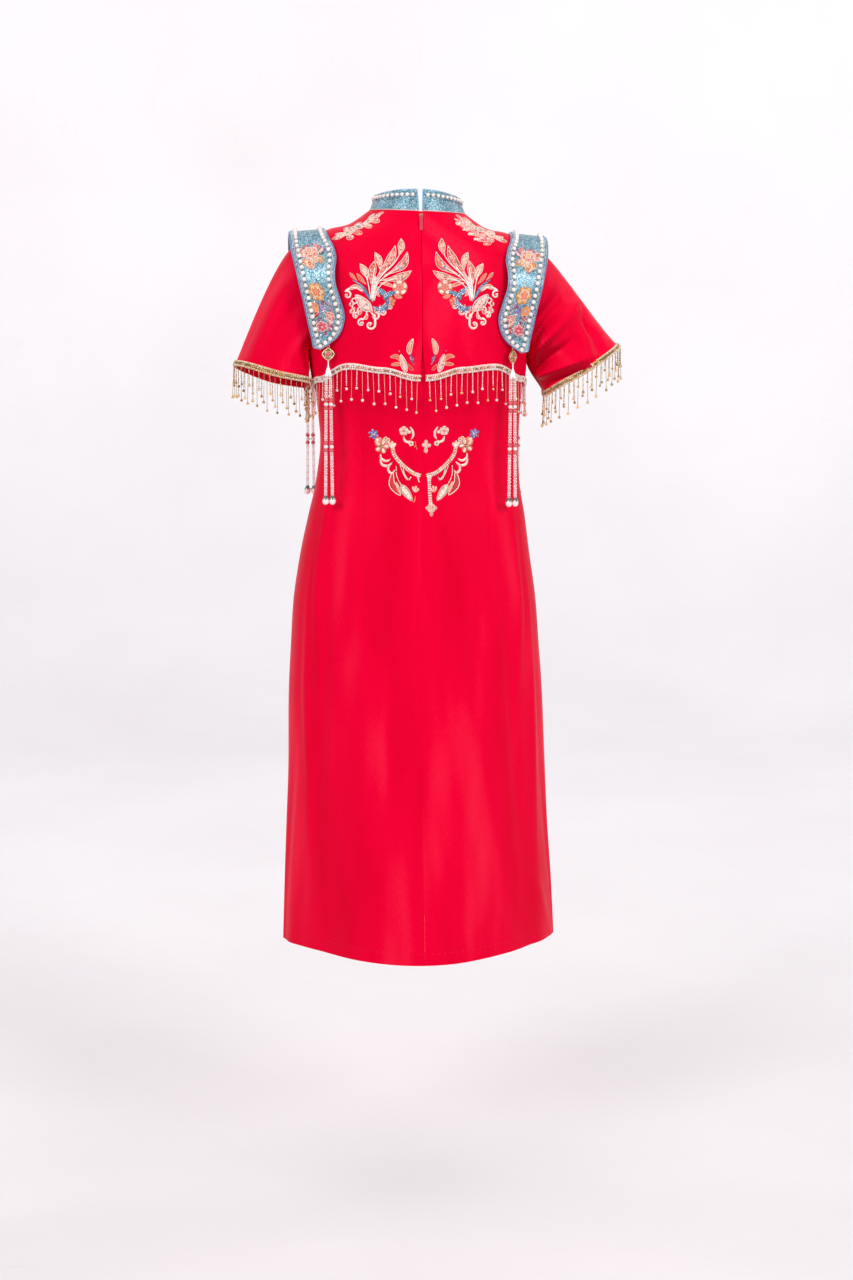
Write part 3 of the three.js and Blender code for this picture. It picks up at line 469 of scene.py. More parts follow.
def lacquerFinish():
    paint = Paint("lacquer", Base_Color=(0.62, 0.03, 0.09), Coat_Weight=0.6, Coat_Roughness=0.1)
    chips = paint.noise(paint.objectPlace(), 500, 3)
    paint.set("Roughness", 0.25 + chips * 0.2)
    return paint.material


finishes = {
    "satin": satinFinish(), "glitter": glitterFinish(), "beads": beadFinish(), "thread": threadFinish(),
    "tape": tapeFinish(), "metal": metalFinish(), "lacquer": lacquerFinish(),
}
for node, finish in (("zip_slider", "metal"), ("zip_pull_tab", "lacquer")):
    bpy.data.objects[node].material_slots[0].material = finishes[finish]


def clothSheet(name, points, outward, finish, thickness=clothThickness, wrapped=False):
    if wrapped:
        points = np.concatenate([points, points[:, :1]], axis=1)
    rows, columns = points.shape[:2]
    bm = bmesh.new()
    sheetUv = bm.loops.layers.uv.new("cloth")
    bmesh.ops.create_grid(bm, x_segments=columns - 1, y_segments=rows - 1, size=0.5)
    across = np.cumsum(np.linalg.norm(np.diff(points, axis=1, prepend=points[:, :1]), axis=-1), axis=1) * mm
    across -= across[:, columns // 2][:, None]
    middle = points[:, columns // 2]
    along = np.cumsum(np.linalg.norm(np.diff(middle[::-1], axis=0, prepend=middle[-1:]), axis=-1))[::-1] * mm
    places = {}
    for vert in bm.verts:
        j = round((vert.co.x + 0.5) * (columns - 1))
        i = round((0.5 - vert.co.y) * (rows - 1))
        places[vert] = (i, j)
    for face in bm.faces:
        for loop in face.loops:
            i, j = places[loop.vert]
            loop[sheetUv].uv = (across[i, j], along[i])
    for vert, (i, j) in places.items():
        vert.co = Vector(points[i, j] * mm)
    centre = next(v for v, place in places.items() if place == (rows // 2, columns // 2))
    bm.normal_update()
    if centre.normal.dot(Vector(outward)) < 0:
        bmesh.ops.reverse_faces(bm, faces=bm.faces)
    if wrapped:
        bmesh.ops.remove_doubles(bm, verts=bm.verts, dist=0.01 * mm)
    return shell(name, bm, finish, thickness)


def shell(name, bm, finish, thickness):
    piece = meshPiece(name, bm, finish)
    wall = piece.modifiers.new("wall", "SOLIDIFY")
    wall.thickness = thickness * mm
    wall.offset = -1
    settle(piece, 50)
    return piece


def settle(piece, sharpDegrees):
    graph = bpy.context.evaluated_depsgraph_get()
    mesh = bpy.data.meshes.new_from_object(piece.evaluated_get(graph))
    piece.modifiers.clear()
    piece.data = mesh
    mesh.set_sharp_from_angle(angle=math.radians(sharpDegrees))


def meshPiece(name, bm, finish):
    mesh = bpy.data.meshes.new(name)
    bm.to_mesh(mesh)
    bm.free()
    mesh.materials.append(finishes[finish])
    mesh.polygons.foreach_set("use_smooth", [True] * len(mesh.polygons))
    piece = bpy.data.objects.new(name, mesh)
    bpy.context.collection.objects.link(piece)
    return piece


def wear(piece, body, slot, *nodes):
    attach(piece, body)
    if nodes:
        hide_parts(*nodes)
    return piece


def backArmhole(level):
    return armholeAngle(level, armholeReach["back"])


def frontArmhole(level):
    return armholeAngle(level, armholeReach["front"])


def middleBack(level):
    return np.full_like(level, 90)


# Back halves and front: the edges each runs between, its columns, how far it is set off its neighbours
panels = {
    "back_left": {
        "start": backArmhole, "end": middleBack, "columns": 66, "off": (0.02, 0.2), "half": 1,
    },
    "back_right": {
        "start": middleBack, "end": lambda level: 180 - backArmhole(level),
        "columns": 66, "off": (-0.02, 0.2), "half": -1,
    },
    "front": {
        "start": lambda level: 180 + frontArmhole(level), "end": lambda level: 360 - frontArmhole(level),
        "columns": 120, "off": (0, -0.2), "half": 1,
    },
}


def evenLevels(top, bottom, count):
    fine = np.linspace(top, bottom, 400)
    height = np.cumsum(np.abs(np.diff(levelValue("zBack", fine), prepend=levelValue("zBack", top))))
    return np.interp(np.linspace(0, height[-1], count), height, fine)


# Levels from the shoulder tip to the underarm, closest at both ends
def armholeLevels(count):
    return shoulderTip + (underarm - shoulderTip) * (1 - np.cos(np.pi * np.linspace(0, 1, count))) / 2


armholeRows = armholeLevels(44)
shoulderRows = evenLevels(0.03, shoulderTip, 20)[:-1]
skirtRows = evenLevels(underarm, hemLevel, 150)[1:]


def panelAngles(panel, rows):
    t = np.linspace(0, 1, panel["columns"] + 1)
    return blend(panel["start"](rows)[:, None], panel["end"](rows)[:, None], t[None, :])


def awayFromBody(grid):
    x, y, _ = grid[grid.shape[0] // 2, grid.shape[1] // 2]
    return (x, y, 0)


for name, panel in panels.items():
    rows = np.concatenate([shoulderRows, armholeRows, skirtRows])
    angles = panelAngles(panel, rows)
    grid = clothPoint(rows[:, None], angles, np.zeros_like(angles))
    grid[..., 0] += panel["off"][0]
    grid[..., 1] += panel["off"][1]
    panel["dress"] = clothSheet("dress_" + name + "_cloth", grid, awayFromBody(grid), "satin")
    wear(panel["dress"], "garment", "satin", "dress_" + name)
print("dress panels made")

# Height of the overlay's hem round the body
overlayHem = (
    (0, -258), (22, -246), (52, -224), (72, -229), (90, -240), (108, -229), (128, -226), (158, -247),
    (180, -258), (205, -256), (235, -240), (270, -262), (305, -240), (335, -256), (360, -258),
)
# flare: how far it stands off below the bust; parting: how far the halves part at the back; each begins at a
# level and grows over the next ones
overlayLook = {
    "flare": 3, "flareFrom": 7.2, "flareOver": 2.6, "ripples": 4,
    "parting": 4, "partFrom": 7.9, "partOver": 1.4, "partReach": 30, "rowsBelow": 22, "gap": 18,
}


def overlayHemLevel(angle):
    arounds = np.array([a for a, _ in overlayHem], float)
    heights = np.array([z for _, z in overlayHem], float)
    i = np.clip(np.searchsorted(arounds, angle, side="left") - 1, 0, len(arounds) - 2)
    t = (1 - np.cos(np.pi * (angle - arounds[i]) / (arounds[i + 1] - arounds[i]))) / 2
    return levelAtHeight(blend(heights[i], heights[i + 1], t), "zSide")


def overlayPoint(level, angle, lift, half):
    look = overlayLook
    loose = smooth((level - look["flareFrom"]) / look["flareOver"])
    ripple = 0.6 + 0.4 * np.cos(np.radians(angle * look["ripples"]))
    besideArm = smooth(np.abs(np.sin(np.radians(angle))) / 0.45)
    point = clothPoint(level, angle, lift + look["flare"] * loose * ripple * besideArm)
    beside = smooth(1 - np.abs(angle - 90) / look["partReach"])
    parted = smooth((level - look["partFrom"]) / look["partOver"])
    point[..., 0] += half * look["parting"] * parted * beside
    return point


for name, panel in panels.items():
    rows = np.concatenate([shoulderRows, armholeRows])
    angles = panelAngles(panel, rows)
    depth = np.broadcast_to(rows[:, None], angles.shape)
    low = np.linspace(0, 1, overlayLook["rowsBelow"])[1:, None]
    depth = np.concatenate([depth, blend(underarm, overlayHemLevel(angles[-1])[None, :], low)])
    angles = np.concatenate([angles, np.broadcast_to(angles[-1], (len(low), angles.shape[1]))])
    grid = overlayPoint(depth, angles, np.full_like(angles, overlayFace), panel["half"])
    grid[..., 0] += panel["off"][0] * overlayLook["gap"]
    grid[..., 1] += panel["off"][1]
    panel["overlay"] = clothSheet("overlay_" + name + "_cloth", grid, awayFromBody(grid), "satin")
    wear(panel["overlay"], "garment", "satin", "overlay_" + name)
print("overlay made")


# Sleeves. outer, inner: far and near end of the cuff (x, z); deep, middle: half its depth and its middle,
# front to back; frontLow: slope of the cuff, lower in front; head, under: pull of the cloth at the armhole,
# out and up; hang, underHang: the same at the cuff, out and down; hug: how far the cuff is drawn in beside
# its near end; folds: where each ridge or trough runs (degrees round from the top, share of the length),
# how wide and how high
sleeves = {
    "left": {
        "hand": 1, "outer": (275, -226), "inner": (169, -263), "deep": 58, "middle": -6, "frontLow": 0.17,
        "head": (85, 24), "under": (5, -45), "hang": (40, 85), "underHang": (3, 30), "hug": 24,
        "folds": (
            (((78, 0.12), (70, 0.4), (88, 0.62), (104, 0.8)), 11, -5),
            (((50, 0.1), (48, 0.5), (58, 0.95)), 20, 4),
            (((112, 0.2), (106, 0.5), (122, 0.85)), 10, 4),
            (((132, 0.15), (124, 0.5), (140, 0.95)), 10, -5),
            (((24, 0.3), (26, 0.9)), 14, -2.5),
            (((250, 0.1), (262, 0.5), (240, 0.9)), 14, 4),
            (((300, 0.15), (288, 0.6), (276, 0.95)), 13, -4),
        ),
    },
    "right": {
        "hand": -1, "outer": (306, -200), "inner": (192, -273), "deep": 58, "middle": 2, "frontLow": 0.05,
        "head": (72, -12), "under": (2, -62), "hang": (85, 60), "underHang": (10, 48), "hug": 4,
        "folds": (
            (((30, 0.32), (66, 0.28), (92, 0.18), (108, 0.08)), 7, -6.5),
            (((24, 0.44), (52, 0.42), (86, 0.36), (118, 0.26)), 6.5, -8),
            (((22, 0.53), (60, 0.5), (98, 0.43), (134, 0.34)), 8, 8.5),
            (((34, 0.6), (46, 0.76), (60, 0.9)), 8, -6),
            (((14, 0.52), (30, 0.6), (44, 0.7)), 5, -5),
            (((62, 0.66), (92, 0.62), (126, 0.52), (150, 0.44)), 8, -7.5),
            (((64, 0.86), (98, 0.76), (132, 0.64), (152, 0.54)), 9, 7.5),
            (((78, 0.98), (108, 0.9), (142, 0.8)), 8, -4.5),
            (((330, 0.5), (290, 0.44), (240, 0.3)), 9, 5),
            (((320, 0.72), (280, 0.66), (230, 0.5)), 9, -5),
        ),
    },
}
sleeveLook = {"columns": 180, "rows": 72, "rootGap": 0.5, "girth": 380, "length": 160}


def foldSwell(around, along, folds):
    girth, length = sleeveLook["girth"], sleeveLook["length"]
    swell = np.zeros(np.broadcast(around, along).shape)
    for path, wide, high in folds:
        line = smoothLine(path, 20)
        nearest = np.full(swell.shape, 1e9)
        share = np.zeros(swell.shape)
        for k, (place, reach) in enumerate(line):
            gap = (turnFrom(around, place) / 360 * girth) ** 2 + ((along - reach) * length) ** 2
            share = np.where(gap < nearest, k / 19, share)
            nearest = np.minimum(gap, nearest)
        swell += high * (1 - 0.8 * (2 * share - 1) ** 4) * np.exp(-nearest / wide**2)
    return swell


def armholeLoop(hand, count):
    level = armholeLevels(161)
    back, front = backArmhole(level), 360 - frontArmhole(level)
    levelsRound = np.concatenate([level, level[-2:0:-1]])
    angles = np.concatenate([back, front[-2:0:-1]])
    if hand < 0:
        angles = 180 - angles
    points = clothPoint(levelsRound, angles, np.full_like(angles, overlayFace))
    closed = closedLine(points)
    lengths = lengthsAlong(closed)
    return pointAt(closed, lengths, np.linspace(0, lengths[-1], count, endpoint=False))


def tubeNormals(grid, hand):
    across = np.roll(grid, -1, axis=1) - np.roll(grid, 1, axis=1)
    along = np.gradient(grid, axis=0)
    return unit(hand * np.cross(along, across))


def sleeveGrid(spec):
    look = sleeveLook
    hand = spec["hand"]
    t = np.linspace(0, 1, look["rows"])[:, None]
    around = np.linspace(0, 360, look["columns"], endpoint=False)[None, :]
    top = (1 + np.cos(np.radians(around))) / 2
    back = np.sin(np.radians(around))
    start = armholeLoop(hand, look["columns"])[None]
    start = start + np.array([hand * look["rootGap"], 0, 0])
    y = spec["middle"] + spec["deep"] * back
    hug = spec["hug"] * np.exp(-(((np.abs(around - 180) - 52) / 22) ** 2))
    endX = hand * (blend(spec["inner"][0], spec["outer"][0], top) - hug)
    endZ = blend(spec["inner"][1], spec["outer"][1], top) + spec["frontLow"] * (y - spec["middle"])
    (underOut, underUp), (headOut, headUp) = spec["under"], spec["head"]
    (underAway, underDown), (hangAway, hangDown) = spec["underHang"], spec["hang"]
    startPull = stack(hand * blend(underOut, headOut, top**0.8), 10 * back, blend(underUp, headUp, top))
    endPull = stack(hand * blend(underAway, hangAway, top), 0, -blend(underDown, hangDown, top))
    t = t[..., None]
    grid = start * (2 * t**3 - 3 * t**2 + 1) + startPull * (t**3 - 2 * t**2 + t)
    grid = grid + stack(endX, y, endZ) * (3 * t**2 - 2 * t**3) + endPull * (t**3 - t**2)
    along = np.linspace(0, 1, look["rows"])[:, None]
    swell = foldSwell(around, along, spec["folds"])
    return grid + tubeNormals(grid, hand) * (swell * smooth(along / 0.25))[..., None]


for side, spec in sleeves.items():
    grid = sleeveGrid(spec)
    normals = tubeNormals(grid, spec["hand"])
    spec["edge"], spec["inward"], spec["out"] = grid[-1], unit(grid[-2] - grid[-1]), normals[-1]
    middle = normals[len(grid) // 2, grid.shape[1] // 2]
    spec["cloth"] = clothSheet("sleeve_" + side + "_cloth", grid, middle, "satin", wrapped=True)
    wear(spec["cloth"], "garment", "satin", "sleeve_" + side)
print("sleeves made")


collarLook = {
    "side": 61.5, "back": 57, "front": 55, "middle": -2, "zSide": 23, "zBack": 35.5, "zFront": -31,
    "partBase": 3, "partTop": 4.3, "thickness": 2.6, "seat": 0.3,
}


def collarPoint(t, s, lift):
    look = collarLook
    angle = 90 + 360 * s  # from the centre back round the right side to the centre back
    base = bareSurface(0, angle)
    normal = surfaceNormal(np.zeros_like(angle), angle)
    flat = unit(normal * np.array([1, 1, 0]))
    base[..., 2] += np.maximum(normal[..., 2], 0) * overlayFace + look["seat"]
    c, d = np.cos(np.radians(angle)), np.sin(np.radians(angle))
    zEnd = np.where(d >= 0, look["zBack"], look["zFront"])
    top = stack(
        look["side"] * c,
        look["middle"] + np.where(d >= 0, look["back"], look["front"]) * d,
        blend(look["zSide"], zEnd, np.abs(d) ** 1.5) + look["side"] * c * levels[0][-1],
    )
    point = blend(base, top, t[..., None]) + flat * lift
    near = smooth(1 - np.minimum(s, 1 - s) * 8)
    point[..., 0] += np.where(s < 0.5, -1, 1) * blend(look["partBase"], look["partTop"], t) * near
    return point


def collarLine(t, lift, count=400):
    s = np.linspace(0, 1, count)
    return collarPoint(np.full_like(s, t), s, lift)


t, s = np.meshgrid(np.linspace(0, 1, 12), np.linspace(0, 1, 181), indexing="ij")
grid = collarPoint(t, s, collarLook["thickness"] / 2)
collar = clothSheet("collar_cloth", grid, (0, -1, 0), "glitter", collarLook["thickness"])
wear(collar, "garment", "glitter_cloth", "collar")

# Shoulder band over the left shoulder, back to front: y, z of its inner face, its inner and outer edge
bandRows = np.array((
    (78, -197.8, 148, 158), (81, -188, 134, 160), (84, -179, 124, 162), (87, -166, 117, 165),
    (89.5, -148, 114, 168.5), (90.5, -126, 120, 173), (89.5, -104, 127, 178), (86, -84, 128, 181.5),
    (79, -65.8, 125.5, 185), (68, -49.8, 129, 187.5), (53, -40.3, 134, 189.5), (36, -32.8, 137, 190.5),
    (18, -29.1, 138, 191), (0, -27.8, 138, 191), (-18, -29.8, 138, 191), (-38, -36.3, 137, 191),
    (-56, -46.3, 135, 190.5), (-71, -57.8, 131, 189.5), (-83, -74, 129, 188), (-92, -96, 131, 185.5),
    (-98, -120, 132, 182), (-101, -144, 128, 178.5), (-102, -164, 129, 175.5), (-101, -180, 136, 173),
    (-99, -190, 142, 169.5), (-97, -198, 154, 164),
), float)
bandEnd = len(bandRows) - 1
bandLook = {"thickness": 2.4, "slopeTop": 0.1, "slopeEnds": 0.32, "tilt": 0.022, "middleZ": -110}


def bandPoint(place, across, lift, hand):
    look = bandLook
    place = np.clip(np.asarray(place, float), 0, bandEnd)
    row = between(bandRows, place)
    step = between(bandRows, np.minimum(place + 0.5, bandEnd)) - between(bandRows, np.maximum(place - 0.5, 0))
    out = unit(stack(0 * place, -step[..., 1], step[..., 0]))
    y, z, inner, outer = (row[..., k] for k in range(4))
    inwards = out[..., 1] * y + out[..., 2] * (z - look["middleZ"]) < 0
    out = np.where(inwards[..., None], -out, out)
    wide = (outer - inner) * across
    x = inner + wide
    slope = blend(look["slopeTop"], look["slopeEnds"], smooth(np.abs(y) / 80))
    point = stack(hand * x, y, z + hand * x * look["tilt"])
    point = point + out * (lift - wide * slope)[..., None]
    normal = unit(out + stack(hand * slope, 0 * y, 0 * y))
    return point, normal


hands = {"left": 1, "right": -1}
for side, hand in hands.items():
    place, across = np.meshgrid(np.linspace(0, bandEnd, 150), np.linspace(0, 1, 15), indexing="ij")
    grid, normals = bandPoint(place, across, bandLook["thickness"], hand)
    name = "shoulder_band_" + side
    middle = normals[len(normals) // 2, normals.shape[1] // 2]
    band = clothSheet(name + "_cloth", grid, middle, "glitter", bandLook["thickness"])
    wear(band, "garment", "glitter_cloth", name)
print("collar and bands made")


# Colours of beads and threads, and how metallic some of them are
dyes = {
    "cream": (0.92, 0.78, 0.66), "ivory": (0.96, 0.9, 0.84), "peach": (0.88, 0.4, 0.26),
    "coral": (0.82, 0.16, 0.1), "blush": (0.93, 0.58, 0.52), "silver": (0.78, 0.78, 0.8),
    "olive": (0.12, 0.12, 0.05), "sky": (0.32, 0.56, 0.76), "blue": (0.08, 0.16, 0.5),
    "teal": (0.06, 0.34, 0.4), "violet": (0.28, 0.14, 0.5), "orange": (0.86, 0.3, 0.05),
    "amber": (0.85, 0.5, 0.14), "red": (0.62, 0.015, 0.03), "rose": (0.75, 0.12, 0.2),
    "pearl": (0.9, 0.83, 0.8), "pink": (0.9, 0.66, 0.66), "green": (0.01, 0.09, 0.05),
    "gold": (0.86, 0.6, 0.3), "oldGold": (0.5, 0.35, 0.16), "black": (0.02, 0.02, 0.02),
    "plum": (0.2, 0.03, 0.1), "grey": (0.3, 0.32, 0.38), "white": (0.93, 0.92, 0.92),
    "umber": (0.1, 0.05, 0.03), "bulb": (0.9, 0.74, 0.74), "straw": (0.8, 0.58, 0.34),
    "rust": (0.9, 0.28, 0.2), "steel": (0.07, 0.17, 0.34), "navy": (0.02, 0.05, 0.14),
}
metals = {"gold": 0.8, "oldGold": 0.8, "silver": 0.6}


# Points, corners and sizes of the faces, which are put in an order that is the same each run
def shapeOf(bm):
    bm.verts.ensure_lookup_table()
    verts = np.array([v.co[:] for v in bm.verts])
    faces = sorted(([v.index for v in face.verts] for face in bm.faces), key=sorted)
    bm.free()
    corners = np.array([corner for face in faces for corner in face])
    sizes = np.array([len(face) for face in faces])
    return verts, corners, sizes


def beadShape(fine):
    bm = bmesh.new()
    if fine:
        bmesh.ops.create_uvsphere(bm, u_segments=12, v_segments=8, radius=1)
    else:
        bmesh.ops.create_icosphere(bm, subdivisions=1, radius=1)
    return shapeOf(bm)


beadShapes = {fine: beadShape(fine) for fine in (False, True)}


class Trim:
    def __init__(self, seed=1):
        self.parts = []
        self.count = 0
        self.chance = random.Random(seed)

    def add(self, verts, corners, sizes, dye):
        shade = 1 + self.chance.uniform(-0.08, 0.08)
        value = [min(c * shade, 1) for c in dyes[dye]] + [1, metals.get(dye, 0)]
        self.parts.append((verts, corners + self.count, sizes, np.tile(value, (len(verts), 1))))
        self.count += len(verts)

    def bead(self, place, size, dye, axis=None, fine=False):
        wide, tall = size if isinstance(size, tuple) else (size, size)
        verts, corners, sizes = beadShapes[fine]
        verts = verts * (wide / 2, wide / 2, tall / 2)
        if axis is not None:
            verts = verts @ np.array(Vector(axis).to_track_quat("Z", "Y").to_matrix()).T
        self.add(verts + np.array(place), corners, sizes, dye)

    def sweep(self, rings, dye):
        rings = np.concatenate([rings, rings[:, :1]], axis=1)
        rows, columns = rings.shape[:2]
        bm = bmesh.new()
        bmesh.ops.create_grid(bm, x_segments=columns - 1, y_segments=rows - 1, size=0.5)
        for vert, place in zip(bm.verts, rings.reshape(-1, 3)):
            vert.co = Vector(place)
        bmesh.ops.remove_doubles(bm, verts=bm.verts, dist=1e-6)
        bmesh.ops.recalc_face_normals(bm, faces=bm.faces)
        self.add(*shapeOf(bm), dye)

    def cord(self, path, radius, dye, sides=6, closed=False):
        path = np.asarray(path, float)
        if closed:
            tangent = closedLine(unit(np.roll(path, -1, axis=0) - np.roll(path, 1, axis=0)))
            path = closedLine(path)
            reach = np.full(len(path), radius)
        else:
            tangent = np.gradient(path, axis=0)
            tangent = unit(np.concatenate([tangent[:1], tangent, tangent[-1:]]))
            path = np.concatenate([path[:1], path, path[-1:]])
            reach = np.full(len(path), radius)
            reach[0] = reach[-1] = 0  # the ends close to a point
        helper = np.array([0.31, 0.42, 0.85])  # any way that no cord runs along
        side = unit(np.cross(tangent, helper))
        up = np.cross(side, tangent)
        turn = np.linspace(0, 2 * np.pi, sides, endpoint=False)
        rings = path[:, None] + reach[:, None, None] * (
            side[:, None] * np.cos(turn)[None, :, None] + up[:, None] * np.sin(turn)[None, :, None])
        self.sweep(rings, dye)

    def strip(self, ground, line, half, high, dye, sides=8, lift=0.0):
        places, normals = groundLine(ground, line)
        tangent = unit(np.gradient(places, axis=0))
        side = unit(np.cross(normals, tangent))
        half = np.asarray(half, float) * mm
        high = np.full(len(half), high * mm) * (half > 0)
        turn = np.linspace(0, 2 * np.pi, sides, endpoint=False)
        rings = (places + normals * lift * mm)[:, None]
        rings = rings + side[:, None] * (half[:, None] * np.cos(turn))[..., None]
        rings = rings + normals[:, None] * (high[:, None] * np.sin(turn))[..., None]
        self.sweep(rings, dye)

    def studs(self, ground, points, size, names, lift=0.6):
        places, normals = groundLine(ground, points)
        for place, normal in zip(places, normals):
            dye = self.chance.choice(names)
            grown = size * self.chance.uniform(0.88, 1.12) * mm
            self.bead(place + normal * lift * mm, (grown, grown * 0.8), dye, normal)

    def piece(self, name, body, slot, *nodes, finish="beads"):
        verts, corners, sizes, values = (np.concatenate(part) for part in zip(*self.parts))
        mesh = bpy.data.meshes.new(name)
        mesh.vertices.add(len(verts))
        mesh.vertices.foreach_set("co", verts.ravel())
        mesh.loops.add(len(corners))
        mesh.loops.foreach_set("vertex_index", corners)
        mesh.polygons.add(len(sizes))
        mesh.polygons.foreach_set("loop_start", np.concatenate([[0], np.cumsum(sizes)[:-1]]))
        mesh.update(calc_edges=True)
        mesh.attributes.new("dye", "FLOAT_COLOR", "POINT").data.foreach_set("color", values[:, :4].ravel())
        mesh.attributes.new("metal", "FLOAT", "POINT").data.foreach_set("value", values[:, 4].copy())
        mesh.polygons.foreach_set("use_smooth", [True] * len(sizes))
        mesh.materials.append(finishes[finish])
        piece = bpy.data.objects.new(name, mesh)
        bpy.context.collection.objects.link(piece)
        return wear(piece, body, slot, *nodes)


def groundLine(ground, points):
    found = [ground(u, w) for u, w in points]
    return np.array([f[0] for f in found], float), np.array([f[1] for f in found], float)


# Braid and fringe of the overlay's hem and the cuffs
braidLook = {
    "height": 8.5, "seat": 0.5, "pearl": 3.0, "stone": 3.1, "pitch": 2.9, "cord": 0.6,
    "hem": {
        "beads": ("cream", "ivory", "blush", "white"), "cord": "ivory", "backing": "rust",
        "stones": ("gold", "ivory", "oldGold", "white", "olive", "blush"),
    },
    "cuff": {
        "beads": ("cream", "gold", "straw", "amber"), "cord": "straw", "backing": "oldGold",
        "stones": ("oldGold", "gold", "olive"),
    },
}
fringeLook = {
    "pitch": 8.25, "short": 30, "long": 47.5, "rice": (1.9, 2.7), "ball": 4.2, "pin": 0.42, "out": 1.2,
    "sway": 0.035,
    "hem": {
        "pin": "rust", "rice": ("ivory", "pink", "blush"), "stagger": 1,
        "ball": ("pearl", "pink", "blush", "gold"),
    },
    "cuff": {
        "pin": "oldGold", "rice": ("gold", "amber", "oldGold"), "stagger": 0,
        "ball": ("oldGold", "gold", "amber"),
    },
}


class Edge:
    def __init__(self, low, high, out):
        self.low, self.high, self.out = low, high, out
        self.lengths = lengthsAlong(low)

    def at(self, distance, up=0.0, lift=0.0):
        low, high, out = (pointAt(table, self.lengths, distance) for table in (self.low, self.high, self.out))
        out = unit(out)
        return (low + unit(high - low) * up + out * lift) * mm, out

    def along(self, pitch, margin=0.0):
        length = self.lengths[-1] - 2 * margin
        count = max(int(round(length / pitch)), 1)
        return [margin + length * (k + 0.5) / count for k in range(count)]


def hemEdge(panel):
    ends = [float(panel[end](np.array([float(underarm)]))[0]) for end in ("start", "end")]
    angles = np.linspace(*ends, 400)
    level = overlayHemLevel(angles)
    rise = braidLook["height"] / (levelValue("zSide", level - 0.5) - levelValue("zSide", level + 0.5))
    face = np.full_like(angles, overlayFace)
    low = overlayPoint(level, angles, face, panel["half"])
    high = overlayPoint(level - rise, angles, face, panel["half"])
    return Edge(low, high, surfaceNormal(level, angles))


def cuffEdge(spec):
    edge, inward, out = (closedLine(spec[line]) for line in ("edge", "inward", "out"))
    return Edge(edge, edge + inward * braidLook["height"], out)


def beadedBraid(name, edge, seed, kind):
    look = braidLook
    dye = look[kind]
    trim = Trim(seed)
    lowest = 1.5
    for up, size, pitch, names in (
        (lowest, look["pearl"], look["pitch"], dye["beads"]),
        (4.4, look["stone"], look["pitch"] * 1.3, dye["stones"]),
        (7.2, look["pearl"], look["pitch"], dye["beads"]),
    ):
        for distance in edge.along(pitch):
            place, _ = edge.at(distance + (up - lowest) * 0.25, up, look["seat"] + size * 0.45)
            trim.bead(place, size * mm, trim.chance.choice(names))
    steps = np.linspace(0, edge.lengths[-1], int(edge.lengths[-1] / 5))
    for up in (0.1, look["height"] + 0.1):
        path = [edge.at(d, up, look["seat"] + 0.2)[0] for d in steps]
        trim.cord(path, look["cord"] * mm, dye["cord"], 5)
    corners = ((0, 0.3), (look["height"], 0.3), (look["height"], 1), (0, 1))
    backing = np.array([[edge.at(d, up, lift)[0] for up, lift in corners] for d in steps])
    first, last = (end.mean(axis=1, keepdims=True).repeat(4, axis=1) for end in (backing[:1], backing[-1:]))
    trim.sweep(np.concatenate([first, backing, last]), dye["backing"])
    trim.piece(name + "_beads", "garment", "braid", name)


def beadFringe(name, edge, seed, kind):
    look = fringeLook
    dye = look[kind]
    trim = Trim(seed)
    wide, tall = look["rice"]
    down = Vector((0, 0, -1))
    for k, distance in enumerate(edge.along(look["pitch"], 1.5)):
        place, out = edge.at(distance, 0.5, look["out"])
        start = Vector(place)
        sway = Vector([trim.chance.uniform(-look["sway"], look["sway"]) for _ in range(3)])
        sway += Vector((out[0], out[1], 0)) * 0.02
        way = (down + sway).normalized()
        length = (look["long"] if k % 2 else look["short"]) + trim.chance.uniform(-1.6, 1.6)
        end = start + way * (length - look["ball"] / 2) * mm
        if k % 2:
            trim.cord([start, end], look["pin"] * mm, dye["pin"], 5)
        else:
            for n in range(int((length - look["ball"]) / tall)):
                at = start + way * (n + 0.6) * tall * mm
                trim.bead(at, (wide * mm, tall * mm), dye["rice"][(n + k * dye["stagger"]) % 3], way)
        ball = trim.chance.choice(dye["ball"])
        trim.bead(end, look["ball"] * trim.chance.uniform(0.9, 1.1) * mm, ball, None, True)
        trim.bead(end - way * look["ball"] * 0.5 * mm, (1.9 * mm, 1.2 * mm), "oldGold", way)
    trim.piece(name + "_beads", "garment", "fringe", name)


trims = {"hem_{}_" + name: hemEdge(panel) for name, panel in panels.items()}
trims.update({"cuff_{}_" + side: cuffEdge(spec) for side, spec in sleeves.items()})
for seed, (name, edge) in enumerate(trims.items()):
    kind = name.split("_")[0]
    beadedBraid(name.format("braid"), edge, 10 + seed, kind)
    beadFringe(name.format("fringe"), edge, 30 + seed, kind)
print("braid and fringe made")


# Row of pearls on the collar: how high its lower, middle and upper line run, as shares of the collar
collarBeads = {"low": 0.66, "row": 0.78, "high": 0.9, "pearl": 5.6, "pitch": 8, "rim": 1.25, "base": 0.7}


